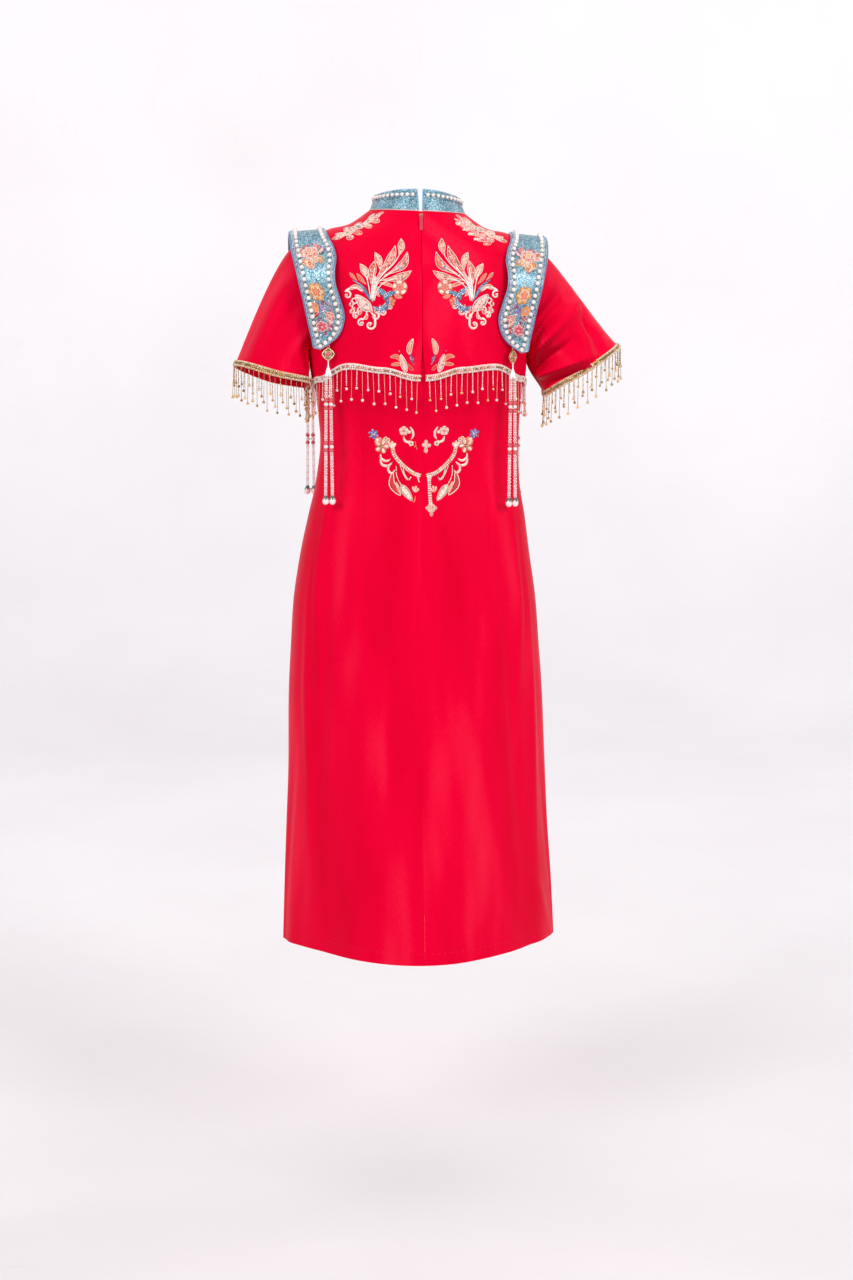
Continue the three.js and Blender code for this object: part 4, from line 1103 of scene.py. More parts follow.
def studdedCollar():
    look = collarBeads
    trim = Trim(5)
    face = collarLook["thickness"] / 2
    rising = np.linspace(0.04, 1, 12)
    ends = [collarLine(t, 0)[:1] for t in rising], [collarLine(t, 0)[-1:] for t in rising[::-1]]
    trim.cord(np.concatenate(ends[0] + [collarLine(1.0, 0)] + ends[1]) * mm, look["rim"] * mm, "sky", 8)
    trim.cord((collarLine(0.0, face) + (0, 0, 0.3)) * mm, look["base"] * mm, "blush", 5)
    low, row, high = (collarLine(look[line], face) for line in ("low", "row", "high"))
    edge = Edge(low, high, unit(row * np.array([1, 1, 0])))
    rise = np.linalg.norm(high - low, axis=1).mean()
    for distance in edge.along(look["pitch"], 3):
        place, _ = edge.at(distance, rise * 0.5, 1.6)
        trim.bead(place, look["pearl"] * mm, "pearl", None, True)
        for up, size in ((0.5, 2.6), (1.2, 1.8), (-0.2, 1.8)):
            place, _ = edge.at(distance + look["pitch"] / 2, rise * up, 0.9)
            trim.bead(place, size * mm, trim.chance.choice(("olive", "green", "oldGold", "silver")))
    trim.piece("collar_beads", "garment", "pearl")


studdedCollar()


def bandOutline(hand, inset, lift):
    places = np.linspace(0, bandEnd, 220)
    row = between(bandRows, places)
    reach = np.maximum(row[:, 3] - row[:, 2], 1)
    keep = np.clip(inset / reach, 0, 0.5)
    inner, _ = bandPoint(places, keep, lift, hand)
    outer, _ = bandPoint(places, 1 - keep, lift, hand)
    fromEnd = inset / 15  # in rows of the band
    shown = (places >= fromEnd) & (places <= bandEnd - fromEnd)
    return np.concatenate([inner[shown], outer[shown][::-1]])


# Rows of the border, from the edge inwards: inset, size, pitch, place along, dyes
bandBorder = (
    (2.3, 2.3, 2.1, 0, ("sky", "sky", "steel", "sky", "silver")),
    (4.4, 1.5, 1.6, 0, ("ivory", "white", "silver")),
    (8.2, 6.4, 9.0, 0, ("pearl",)),
    (8.2, 3.1, 9.0, 0.5, ("oldGold", "olive", "green", "olive")),
    (6.2, 1.9, 9.0, 0.5, ("silver", "gold", "violet")),
    (10.4, 1.9, 9.0, 0.5, ("silver", "gold", "olive")),
)


def alongLine(line, pitch, start):
    closed = closedLine(line)
    lengths = lengthsAlong(closed)
    count = int(lengths[-1] / pitch)
    return pointAt(closed, lengths, (np.arange(count) + start) * lengths[-1] / count)


def studdedBand(side, hand):
    trim = Trim(7 + hand)
    face = bandLook["thickness"]
    trim.cord(bandOutline(hand, 0, face / 2)[::2] * mm, 1.5 * mm, "steel", 8, closed=True)
    for inset, size, pitch, start, names in bandBorder:
        for spot in alongLine(bandOutline(hand, inset, face), pitch, start) * mm:
            out = unit(np.array([0, spot[1], spot[2] - bandLook["middleZ"] * mm]))
            trim.bead(spot + out * size * 0.34 * mm, size * mm, trim.chance.choice(names), None, size > 5)
    return trim.piece("shoulder_band_" + side + "_beads", "garment", "pearl")


for side, hand in hands.items():
    studdedBand(side, hand)
print("collar and band beads made")


# Sewn motifs: leaves, scrolls and flowers of thread with bead filling


def besideLine(line):
    ahead = unit(np.gradient(line, axis=0))
    return np.stack([-ahead[:, 1], ahead[:, 0]], axis=1)


class Needlework:
    def __init__(self, ground, seed):
        self.ground = ground
        self.threads = Trim(seed)
        self.beads = Trim(seed + 1)

    def place(self, points, lift):
        places, normals = groundLine(self.ground, points)
        return places + normals * lift * mm

    def scatter(self, points, size, names, lift):
        if len(points):
            self.beads.studs(self.ground, points, size, names, lift)

    def stem(self, points, lift, radius, dye, count=12):
        self.threads.cord(self.place(smoothLine(points, count), lift), radius * mm, dye, 5)

    def leaf(self, points, wide, dye, names=(), edge="cream", fullest=0.6, density=0.8, lift=0.0, bead=1.6,
             count=15, plump=0.85, rim=0.55):
        line = smoothLine(points, count)
        t = np.linspace(0, 1, count)
        half = wide / 2 * np.sin(np.pi * t ** (math.log(0.5) / math.log(fullest))) ** plump
        half[0] = half[-1] = 0
        filled = np.maximum(half - rim * 1.5, half * 0.35) if edge and wide > 4.5 else half
        self.threads.strip(self.ground, line, filled, 0.8, dye, 6, lift)
        side = besideLine(line)
        if edge:
            loop = np.concatenate([line + side * half[:, None], (line - side * half[:, None])[-2:0:-1]])
            self.threads.cord(self.place(loop, 0.6 + lift), rim * mm, edge, 5, closed=True)
        if names:
            lengths = lengthsAlong(line)
            pitch = bead * 1.18
            spots = []
            for d in np.arange(pitch, lengths[-1] - pitch * 0.5, pitch):
                room = int(max(np.interp(d, lengths, filled) - bead * 0.3, 0) / pitch)
                middle, across = pointAt(line, lengths, d), pointAt(side, lengths, d)
                spots += [middle + across * k * pitch for k in range(-room, room + 1)
                          if self.beads.chance.random() < density]
            self.scatter(spots, bead, names, 0.8 + lift)

    # A leaf closely filled with beads, with no cord round it
    def beadedLeaf(self, points, wide, dye, names, lift, bead=1.6, fullest=0.5, density=1.0, count=15):
        self.leaf(points, wide, dye, names, None, fullest, density, lift, bead, count)

    def scroll(self, centre, radius, start, turns, wide, dye="cream", names=(), stem=None):
        t = np.linspace(0, 1, 16)
        a = np.radians(start + 360 * turns * t)
        reach = radius * (1 - 0.7 * t)
        line = np.array(centre) + np.stack([reach * np.cos(a), reach * np.sin(a)], axis=1)
        if stem:
            line = np.concatenate([smoothLine(list(stem) + [line[0]], 8)[:-1], line])
        half = wide / 2 * np.concatenate([np.linspace(0.5, 1, 6), np.linspace(1, 0.6, len(line) - 6)])
        half[0] = half[-1] = 0
        self.threads.strip(self.ground, line, half, 0.9, dye, 6)
        if names:
            self.scatter(smoothLine(line[:-3], max(int(len(line) * 0.8), 3)), 1.3, names, 0.9)
        self.beads.studs(self.ground, [np.array(centre)], wide * 1.05, (dye, "cream", "blush"), 0.9)

    def beadLine(self, points, size, names, rows=1, backing="blush"):
        line = smoothLine(points, 30)
        length = np.linalg.norm(np.diff(line, axis=0), axis=1).sum()
        half = np.full(30, size * rows * 0.55)
        half[0] = half[-1] = 0
        self.threads.strip(self.ground, line, half, 0.7, backing, 6)
        line = smoothLine(points, max(int(length / size / 0.95), 3))
        side = besideLine(line)
        for k in range(rows):
            self.scatter(line + side * (k - (rows - 1) / 2) * size * 0.95, size, names, 0.9)

    def flower(self, centre, radius, petals, dye, edge="cream", names=(), heart=("gold",), turn=0.0, lift=0.0,
               wide=1.0):
        centre = np.array(centre, float)
        across = 1.6 * radius * math.sin(math.pi / petals) * wide
        for k in range(petals):
            a = math.radians(turn + 360 * k / petals)
            way = np.array([math.cos(a), math.sin(a)])
            self.leaf((centre + way * radius * 0.16, centre + way * radius), across, dye, names, edge,
                      fullest=0.62, density=0.7, lift=lift, bead=1.4, count=9, plump=0.6, rim=0.6)
        size = radius * 0.24
        ring = [centre + size * 0.95 * np.array([math.cos(a), math.sin(a)])
                for a in np.linspace(0, 2 * math.pi, 6, endpoint=False)]
        self.scatter([centre], size * 1.1, heart, 1.3 + lift)
        self.scatter(ring, size * 0.85, heart, 1.1 + lift)

    def finish(self, name, slot):
        self.threads.piece(name + "_threads", "garment", slot, name, finish="thread")
        self.beads.piece(name + "_beads", "garment", slot)


backCloths = []
for panel in (panels["back_left"], panels["back_right"]):
    for layer in ("overlay", "dress"):
        bm = bmesh.new()
        bm.from_mesh(panel[layer].data)
        backCloths.append(BVHTree.FromBMesh(bm))
        bm.free()


def backGround(hand, lower=0, rightOut=0):
    out = rightOut if hand < 0 else 0  # the right one is sewn that much farther from the seam

    def place(u, w):
        start = Vector((hand * (u + out) * mm, 0.4, (w - lower) * mm))
        hits = [cloth.ray_cast(start, Vector((0, -1, 0))) for cloth in backCloths]
        hits = [hit for hit in hits if hit[0]]
        found = max(hits, key=lambda hit: hit[0].y)
        return found[0][:], found[1][:]
    return place


pale = ("ivory", "white", "coral", "cream", "peach", "olive", "white", "ivory", "umber", "blush")
warm = ("cream", "blush", "peach", "coral", "ivory", "rose")

# Plumes of the bird's tail: points from root to tip, width, colour
birdPlumes = (
    (((34, -61), (30, -49), (29.6, -35)), 9.6, "peach"),
    (((73, -103), (61, -85), (49, -70), (42, -57), (38.4, -45)), 11.5, "coral"),
    (((61, -82), (62, -68), (68, -55)), 9.5, "peach"),
    (((75, -100), (73, -85), (69, -67)), 10.5, "coral"),
    (((79, -95), (82, -84), (90, -71)), 10.0, "peach"),
    (((57, -89), (39, -80), (26, -70), (21, -54)), 11.5, "coral"),
    (((63, -95), (44, -93), (28, -89), (15.5, -81)), 11.0, "peach"),
    (((81, -101), (88, -94), (95, -85)), 5.4, "coral"),
    (((94, -96), (100, -90), (105, -84)), 4.2, "coral"),
)
# Stems that run from the body up between the plumes
birdStems = (
    ((68, -99), (56, -85), (42, -72), (34, -61)), ((72, -122), (69, -108), (62, -96), (46, -84), (30, -74)),
    ((73, -122), (70, -106), (62, -92), (50, -76)), ((70, -124), (65, -108), (54, -97), (36, -92)),
    ((74, -120), (73, -104), (71, -90), (69, -78)), ((75, -122), (77, -108), (80, -94), (86, -80)),
)
# Scrolls below the bird: centre, radius, start, turns, width, stem
birdScrolls = (
    ((109, -116), 6.0, 60, 1.0, 3.2, ((86, -112), (97, -105), (106, -107))),
    ((97, -146), 5.2, 150, -1.0, 2.9, ((86, -131), (94, -136))),
    ((89, -156), 5.8, 120, -1.0, 3.1, ((80, -137), (83, -147))),
    ((76, -159), 7.0, 170, 0.95, 3.4, ((76, -139), (70, -148))),
    ((69, -146), 6.2, 100, 1.0, 3.1, ((72, -134), (64, -139))),
    ((57, -140), 5.2, 30, -1.0, 3.0, ((62, -130), (62, -134))),
    ((103, -139), 4.6, 100, 1.0, 2.4, ((90, -125), (100, -129))),
    ((104, -129), 4.2, 100, 1.0, 2.2, ((90, -120), (100, -121))),
    ((47, -132), 4.8, 90, -1.0, 3.0, ((48, -120), (47, -125))),
)
# Small leaves between the scrolls: root and how far the tip leans
birdLeaflets = ((80, -143, 3), (92, -139, 5), (76, -133, -2), (88, -136, 4), (70, -134, -4), (98, -134, 6))


def makeBird(side, hand):
    work = Needlework(backGround(hand), 100 + hand)
    for points, wide, dye in birdPlumes:
        slim = wide <= 6
        names, edge, bead = (("coral", "peach", "blush"), "peach", 1.6) if slim else (pale, "ivory", 2.2)
        work.leaf(points, wide, dye, names, edge, density=0.9, plump=1.5, bead=bead, rim=0.4)
    for points in birdStems:
        work.stem(points, 1.3, 0.7, "ivory", 14)
    # breast, quill, wing and tail
    work.beadedLeaf(((73, -126), (71, -112), (70, -98), (68, -88)), 8.5, "blush",
                    ("ivory", "silver", "white", "blush"), 0.6)
    work.beadedLeaf(((74, -125), (80, -115), (88, -103), (102, -94)), 4.4, "steel",
                    ("teal", "sky", "navy", "silver"), 0.7, 2.2, fullest=0.45)
    work.leaf(((74, -138), (84, -130), (97, -116)), 15, "blush", pale, "ivory", 0.5, 0.95, bead=2.0)
    work.leaf(((84, -110), (96, -104), (106, -108)), 5.4, "peach", warm, "cream")
    # neck, head and crest
    work.beadedLeaf(((73, -132), (62, -137), (52, -130), (51, -120)), 10, "steel",
                    ("white", "silver", "navy", "white", "sky", "blush"), 0.5, 2.4)
    work.beadedLeaf(((55, -124), (56, -114), (61, -110), (69, -103)), 8.0, "steel",
                    ("sky", "teal", "sky", "white", "sky"), 0.8, 2.3)
    work.beadedLeaf(((57, -122), (49, -115), (38, -111)), 7.5, "steel",
                    ("sky", "sky", "white", "teal", "sky"), 0.9, 2.3)
    work.leaf(((62, -118), (66, -113), (64, -104)), 4.0, "coral", ("coral", "blush"), "blush", lift=0.6)
    work.leaf(((41, -115), (37, -118), (30, -119)), 4.4, "coral", ("peach",), "peach")
    work.leaf(((62, -99), (52, -100), (42, -104)), 4.4, "coral", ("cream", "coral"), "blush")
    # flowers beside the bird, scrolls and leaves below it
    work.flower((46, -125), 6.5, 5, "peach", "coral", ("amber", "cream"), ("coral",), 20, wide=0.8)
    work.flower((33, -105), 10.8, 5, "cream", "coral", ("cream", "ivory", "peach", "olive"),
                ("coral", "rose"), 15, wide=1.15)
    work.flower((33, -105), 5.2, 5, "peach", "coral", ("amber", "cream"), ("coral",), 50, 0.6, 1.1)
    for centre, radius, start, turns, wide, stem in birdScrolls:
        names = warm if wide > 3 else ("silver", "coral")
        work.scroll(centre, radius, start, turns, wide, "ivory", names, stem)
    for u, w, bent in birdLeaflets:
        work.leaf(((u, w), (u + bent, w - 8)), 4.4, "coral", ("coral", "cream", "rose"), "blush")
    work.scatter([(31, -79), (33, -76)], 3.4, ("sky", "blue"), 1.7)
    work.finish("bird_" + side, "beadwork")


def makeSprig(side, hand):
    work = Needlework(backGround(hand, -3.2), 120 + hand)
    work.leaf(((19, -205), (19, -194), (14, -182)), 7.5, "peach", warm, "cream", 0.45, bead=2.0)
    work.leaf(((24, -231), (28, -218), (32, -205)), 8.5, "blush",
              ("silver", "cream", "olive", "coral", "white"), "cream", 0.45, bead=2.0)
    work.leaf(((30, -216), (38, -208), (47, -209)), 5.6, "coral", ("coral", "peach"), "peach", 0.5)
    work.leaf(((29, -219), (38, -219), (46, -220)), 4.8, "coral", ("peach",), "peach", 0.5)
    work.leaf(((21, -219), (18, -224), (14, -228)), 4, "red", ("red", "coral"), "coral")
    work.beadedLeaf(((14, -218), (16, -211), (19, -205)), 5, "plum", ("blue", "violet", "silver"), 0.3)
    work.scatter([(16, -214), (13, -219), (18, -209), (34, -200)], 2.2, ("blue", "violet", "silver"), 1.6)
    work.finish("sprig_" + side, "beadwork")


def crescents(work, arcs, tips):
    for arc, wide in arcs:
        work.leaf(arc, wide, "ivory", (), None, 0.5, plump=0.5)
        work.stem(arc, 1.2, 0.5, "blush")
        if tips:
            work.scatter([arc[-1], arc[2]], 2.4, ("cream", "olive", "coral"), 1.2)


def makeCurl(side, hand):
    work = Needlework(backGround(hand, 10, 8), 140 + hand)
    work.flower((26, -306), 6.6, 5, "cream", "blush", ("cream", "blush"), ("coral",), 90, wide=0.9)
    work.leaf(((20, -306), (16, -309)), 4.2, "cream", ("blush",), "blush")
    crescents(work, (
        (((17, -300), (13, -306), (12, -313), (15, -319)), 3.4),
        (((26, -314), (25, -320), (20, -323), (16, -321)), 3.6),
    ), False)
    work.flower((15, -325), 4.0, 5, "cream", None, ("blush",), ("olive",), 0, 0.3)
    if hand > 0:
        work.stem(((9, -322), (8, -328), (6, -334)), 0.7, 0.6, "coral", 8)
        work.leaf(((8, -327), (10, -331)), 2.6, "coral", (), None)
    else:
        for tip in ((-6, -326), (-1, -320), (6, -327), (-1, -339)):
            work.leaf(((-1, -330), tip), 4.6, "cream", ("blush",), "blush")
    work.finish("curl_" + side, "beadwork")


garlandCrescents = (
    (((60, -339), (59, -346), (52, -350), (46, -347)), 3.6),
    (((61, -347), (58, -355), (50, -357), (43, -352)), 3.8),
    (((47, -355), (49, -363), (44, -368), (40, -364)), 3.6),
    (((27, -360), (25, -370), (20, -377), (16, -374)), 2.8),
    (((8, -370), (5, -374), (4, -380)), 2.4),
)


def makeGarland(side, hand):
    work = Needlework(backGround(hand, 11.5, 9), 160 + hand)
    chain = ((43, -327), (40, -340), (31, -352), (20.6, -361.5), (11, -368), (2 if hand > 0 else -1, -371))
    work.beadLine(chain, 3.0, ("ivory", "white", "cream", "blush", "white", "ivory", "amber"), 2, "coral")
    for tip in ((48, -322), (43, -320), (38, -323)):
        work.leaf(((43, -331), tip), 3.8, "cream", ("peach",), "blush", rim=0.5)
    star = (70.6, -310)
    for k, dye in enumerate(("blue", "violet", "steel", "violet", "blue", "plum")):
        a = math.radians(20 + 60 * k)
        tip = (star[0] + 8.2 * math.cos(a), star[1] + 8.2 * math.sin(a))
        work.beadedLeaf((star, tip), 5.4, dye, ("violet", "white", "steel", "silver"), 0.1 * k, 1.9,
                        fullest=0.45, density=0.9, count=9)
    work.scatter([star, (star[0] + 2, star[1] + 2), (star[0] - 2, star[1])], 2.4, ("white", "silver"), 1.6)
    work.leaf(((66, -317), (63, -320)), 4.6, "ivory", ("white",), "ivory", lift=0.6)
    work.flower((58, -328), 10.5, 5, "cream", "coral", ("cream", "peach", "ivory", "orange"),
                ("gold", "olive"), 35, 0.5, 0.72)
    work.flower((52, -320), 6.0, 5, "orange", "cream", ("amber", "peach"), ("silver", "sky"), 10, wide=0.8)
    work.flower((63, -320), 5.5, 5, "coral", "peach", ("amber", "cream"), ("gold",), 50, wide=0.8)
    crescents(work, garlandCrescents, True)
    # leaves and a fan below the chain
    work.leaf(((42, -366), (44, -382), (38, -392), (31, -400)), 9.0, "red", (), "cream", 0.5, rim=0.7)
    work.beadedLeaf(((38, -380), (35, -388), (31, -399)), 5.5, "peach", ("white", "coral", "silver", "cream"),
                    0.5, 1.9)
    for stem in (
        ((37, -357), (37, -368), (34, -378), (29, -386)),
        ((31, -357), (28, -365), (24, -373), (17, -378)),
    ):
        work.stem(stem, 1.4, 0.6, "cream")
        work.scatter(smoothLine(stem, 9), 1.7, ("olive", "cream"), 1.6)
    work.leaf(((30, -385), (24, -394), (14, -408)), 11, "cream",
              ("white", "olive", "ivory", "amber", "silver", "cream"), "blush", 0.5, 0.95, 0.3, 2.0, rim=0.5)
    for tip in ((13, -387), (8, -386), (4, -390)):
        work.leaf(((10, -396), tip), 4.2, "blush", ("ivory", "cream"), "coral", rim=0.4)
    if hand > 0:
        work.leaf(((9, -400), (10, -406), (12, -411)), 2.2, "coral", (), None)
    work.finish("garland_" + side, "beadwork")


def makeDrop():
    work = Needlework(backGround(-1, 12), 180)
    work.beadLine(((11, -371), (12, -388), (13, -412)), 2.7, ("ivory", "white", "blush", "white"), 2, "coral")
    for k, reach in enumerate((9, 6.5, 9.5, 7, 12, 7, 9.5, 6.5)):
        a = math.radians(45 * (k - 4))
        tip = (14 + reach * 0.9 * math.sin(a), -418 - reach * math.cos(a))
        work.leaf(((14, -418), tip), 4.8, "peach", ("ivory", "white", "coral"), "blush", bead=2.0, rim=0.4)
    work.scatter([(14, -418)], 2.8, ("gold",), 1.6)
    work.finish("garland_drop", "beadwork")


# Middle of the shoulder spray on the overlay, and millimetres for each level and degree there
sprayPlace = {"level": 1.55, "angle": 40, "perLevel": 30, "perDegree": 1.7}


def sprayGround(hand):
    def place(u, w):
        angle = sprayPlace["angle"] + w / sprayPlace["perDegree"]
        angle = np.array(angle if hand > 0 else 180 - angle, float)
        level = np.array(sprayPlace["level"] + u / sprayPlace["perLevel"], float)
        point = overlayPoint(level, angle, np.array(overlayFace), hand)
        return point * mm, surfaceNormal(level, angle)
    return place


# Leaves of the spray: root and way they point, degrees; second row of the right spray: root and tip
sprayLeaves = (
    (-26, 2, 150), (-24, -1, 212), (-17, -3, 118), (-10, -4, 236), (-2, 0, 124), (6, 3, 232), (12, 2, 66),
    (17, 0, 296), (21, 2, 38), (23, -2, 328), (-20, 4, 80), (0, -5, 285), (-8, 5, 60),
)
spraySecondRow = ((-24, -30), (-16, -14), (-6, -10), (2, 6), (12, 12), (20, 26), (26, 36))
sprayScrolls = ((-31, 8, 200), (-31, -10, 160), (26, 9, 20), (26, -11, 340), (7, -14, 270), (-12, -15, 250))


def makeSpray(side, hand):
    work = Needlework(sprayGround(hand), 200 + hand)
    work.beadLine(((-33, 2), (-14, -4), (8, 3), (30, -2)), 2.0, ("cream", "ivory", "blush"), 1)
    for k, (u, w, turn) in enumerate(sprayLeaves):
        a = math.radians(turn)
        tip = (u + 14 * math.cos(a), w + 20 * math.sin(a))
        bend = (u + 7 * math.cos(a) - 2 * math.sin(a), w + 9 * math.sin(a) + 2 * math.cos(a))
        dye, names = ("coral", "peach", "rose")[k % 3], (warm, pale)[k % 2]
        work.leaf(((u, w), bend, tip), 8.6, dye, names, "blush", lift=0.1 * (k % 3), bead=2.1, rim=0.45)
    if hand < 0:
        for k, (u, tip) in enumerate(spraySecondRow):
            points = ((u, 10), ((u + tip) / 2 + 2, 18), (tip, 26 + 3 * (k % 2)))
            dye, names = ("coral", "rose")[k % 2], (pale, warm)[k % 2]
            work.leaf(points, 7.0, dye, names, "blush", bead=2.0, rim=0.45)
        for u, start in ((-20, 60), (-3, 90), (10, 80), (24, 100)):
            work.scroll((u, 27), 4.6, start, 1.0, 2.8, "cream", warm, ((u - 3, 14), (u - 4, 21)))
    work.flower((-2, 0), 10.5, 6, "coral", "cream", ("cream", "coral", "olive"), ("amber", "blue"), 0, 0.6)
    work.flower((-20, 1), 7.5, 5, "peach", "cream", ("coral", "cream"), ("gold", "olive"), 25, 0.5)
    work.flower((17, -1), 7.5, 5, "peach", "cream", ("coral", "cream"), ("gold", "olive"), 10, 0.5)
    for u, w, start in sprayScrolls:
        work.scroll((u, w), 4.6, start, 1.0, 2.8, "cream", warm)
    work.finish("shoulder_spray_" + side, "beadwork")


def bandGround(hand, row, across, perRow=19.0):
    middle = between(bandRows, row)
    reach = middle[3] - middle[2]

    def place(u, w):
        spot = np.array(row + w / perRow), np.array(across + u / reach)
        point, normal = bandPoint(*spot, bandLook["thickness"], hand)
        return point * mm, normal
    return place


# Petals of the upper flower of a band: points, width, colour, colour of its edge
peonyPetals = (
    (((8, 4), (13, 8), (15, 16)), 9, "red", "blush"),
    (((0, 6), (4, 13), (3, 20)), 10, "red", "rose"),
    (((-4, 4), (-10, 11), (-9, 18)), 9, "rose", "blush"),
    (((-8, 0), (-15, 3), (-19, 9)), 8, "blush", "violet"),
    (((9, -1), (16, 0), (20, 5)), 8, "blush", "cream"),
    (((7, -6), (12, -12), (9, -20)), 8, "orange", "cream"),
    (((-5, -6), (-11, -10), (-13, -18)), 8, "peach", "amber"),
    (((0, -8), (3, -16), (-2, -24)), 9, "orange", "blush"),
    (((3, -9), (9, -16), (2, -27)), 4, "cream", "orange"),
)
peonyStones = (
    (((9, -7), (-9, -4), (12, 2), (-12, 6), (4, 14), (-16, 12), (14, -10)),
     2.4, ("silver", "gold", "violet"), 2.0),
    (((-14, -2), (-6, 20), (10, 18), (18, 8), (12, -18), (-14, -14), (4, -26)),
     3.0, ("violet", "rose", "plum", "white", "gold"), 1.6),
)


def makePeony(side, hand):
    work = Needlework(bandGround(hand, 8.6, 0.56 if hand > 0 else 0.5), 220 + hand)
    for points, wide, dye, edge in peonyPetals:
        work.leaf(points, wide, dye, warm, edge, 0.55)
    work.flower((1, 1), 12, 6, "blush", "cream", ("cream", "blush", "coral"), ("gold",), 20, 0.8)
    work.flower((0, 1), 8.5, 5, "coral", "blush", ("coral", "rose", "amber"), ("gold",), 0, 1.6)
    work.flower((0, 1), 5, 5, "orange", "cream", ("rose",), ("amber", "gold"), 30, 2.4)
    work.flower((-3, -12), 6, 5, "orange", "cream", ("amber",), ("sky", "silver"), 0, 1.0)
    for points, size, names, lift in peonyStones:
        work.scatter(points, size, names, lift)
    work.finish("flower_high_" + side, "flowers")


# Leaves of the lower spray of roses on a band: points, width, colour
roseLeaves = (
    (((1, 18), (-3, 13), (-9, 12)), 7, "plum"),
    (((-4, 14), (-11, 13), (-17, 8)), 7, "grey"),
    (((-2, 12), (-8, 7), (-16, 2)), 6, "grey"),
    (((4, 14), (2, 7), (-3, 1)), 7, "violet"),
    (((14, 12), (17, 6), (16, 0)), 6, "sky"),
    (((0, 4), (-6, -2), (-15, -6)), 7, "rose"),
    (((6, 2), (12, -3), (18, -9)), 7, "red"),
    (((0, -6), (-7, -12), (-14, -14)), 7, "blush"),
    (((4, -6), (11, -13), (13, -20)), 6, "plum"),
    (((-2, -8), (-10, -20), (-9, -29)), 6, "red"),
    (((4, -28), (10, -30), (12, -36)), 5, "rose"),
    (((2, -28), (-3, -34), (-2, -39)), 5, "plum"),
)
# Rings of the roses: centre, radius, petals, colours of petal, edge, beads and heart, turn, lift
roses = (
    ((3, 27), 11.5, 6, "amber", "orange", ("amber", "orange", "cream"), ("gold",), 0, 0),
    ((3, 27), 7.2, 5, "orange", "cream", ("orange", "amber"), ("gold", "amber"), 25, 1.0),
    ((3, 27), 4, 5, "peach", "coral", (), ("amber", "gold"), 25, 1.8),
    ((12, 7), 6.5, 5, "orange", "peach", ("orange",), ("sky", "silver"), 10, 1.0),
    ((-9, -4), 6, 5, "coral", "blush", ("rose",), ("silver",), 0, 0.9),
    ((4, -22), 9.5, 6, "rose", "blush", ("red", "rose", "blush"), ("silver",), 15, 0.6),
    ((4, -22), 5.8, 5, "red", "rose", ("red",), ("silver", "gold"), 40, 1.4),
)
roseStones = (
    (((1, 2), (3, -2), (-2, -4), (0, -8), (4, -10), (-4, 2), (6, -5), (-3, 7), (8, 1), (-7, -14), (12, -14)),
     2.6, ("silver", "white", "grey"), 1.8),
    (((-13, -8), (-11, 5), (-6, -18), (9, -33), (-6, -35), (5, -40), (15, -3), (13, -26), (-12, -24), (2, 9),
      (10, 14), (-12, 16)), 3.2, ("navy", "plum", "green", "white", "silver", "rose"), 1.6),
)


def makeRoses(side, hand):
    work = Needlework(bandGround(hand, 4.1, 0.52 if hand > 0 else 0.46), 240 + hand)
    for points, wide, dye in roseLeaves:
        edge = "cream" if dye in ("rose", "sky") else None
        work.leaf(points, wide, dye, ("silver", "white", "grey", dye), edge, density=0.6)
    for rose in roses:
        work.flower(*rose)
    for points, size, names, lift in roseStones:
        work.scatter(points, size, names, lift)
    work.finish("flower_low_" + side, "flowers")


for side, hand in hands.items():
    for make in (makeBird, makeSprig, makeCurl, makeGarland, makeSpray, makePeony, makeRoses):
        make(side, hand)
makeDrop()
print("motifs made")


# Tassels: an enamelled medallion, a tuft of thread and two strands of beads. eye: centre of its loop;
# turn: the medallion's, degrees about the upright; strands: the same for the pair of strands
tassels = {
    "back_left": {"eye": (137.08, 81.48, -189.60), "turn": 0, "strands": 0},
    "back_right": {"eye": (-135.40, 81.84, -194.92), "turn": 55, "strands": 15},
    "front_left": {"eye": (159.00, -96.61, -195.80), "turn": 0, "strands": 0},
    "front_right": {"eye": (-159.00, -96.61, -202.80), "turn": -20, "strands": -10},
}
# Heights are below the eye; discs and beads are given by their width and thickness
medallionLook = {
    "half": 10, "middle": -12.8, "fullness": 2 / 1.35, "rimShare": 0.87, "rim": 1.05, "loop": (1.9, 0.5),
    "ring": (4.6, 0.8), "stone": (7.2, 2.8), "boss": (1.6, 1), "dots": (2.2, 1.2), "dotRing": 5.6,
    "face": 1.2,
}
tuftLook = {"neck": -23.2, "threads": 10, "thread": 0.62, "knot": (2.6, 2.4)}
# Strands: heights are below their top; clusters start at a height and have a length
strandLook = {
    "top": -42.1, "gap": 6.2, "lean": 0.0105, "bead": 2.5, "wide": 1.6, "twist": 16,
    "clusters": ((36, 17), (99, 16)), "ball": (6.7, 5.4), "pearl": (6.6, 6.2), "studs": 2.2, "leaf": 1.8,
    "beadsEnd": 180, "cap": (6.4, 4.6, 181.5), "sepal": (2.6, 4.8), "bulb": (10, 11, 188),
}


def turnedPlace(eye, degrees):
    turn = math.radians(degrees)
    across = np.array((math.cos(turn), math.sin(turn), 0))
    out = np.array((-math.sin(turn), math.cos(turn), 0))
    return (lambda u, v, w: (np.array(eye) + across * u + out * v + np.array((0, 0, w))) * mm), out


def circle(radius, count, flatness=1):
    a = np.linspace(0, 2 * np.pi, count, endpoint=False)
    ring = np.stack([np.cos(a), np.sin(a)], axis=1)
    return radius * np.sign(ring) * np.abs(ring) ** flatness


def sized(look):
    wide, thick = look
    return wide * mm, thick * mm


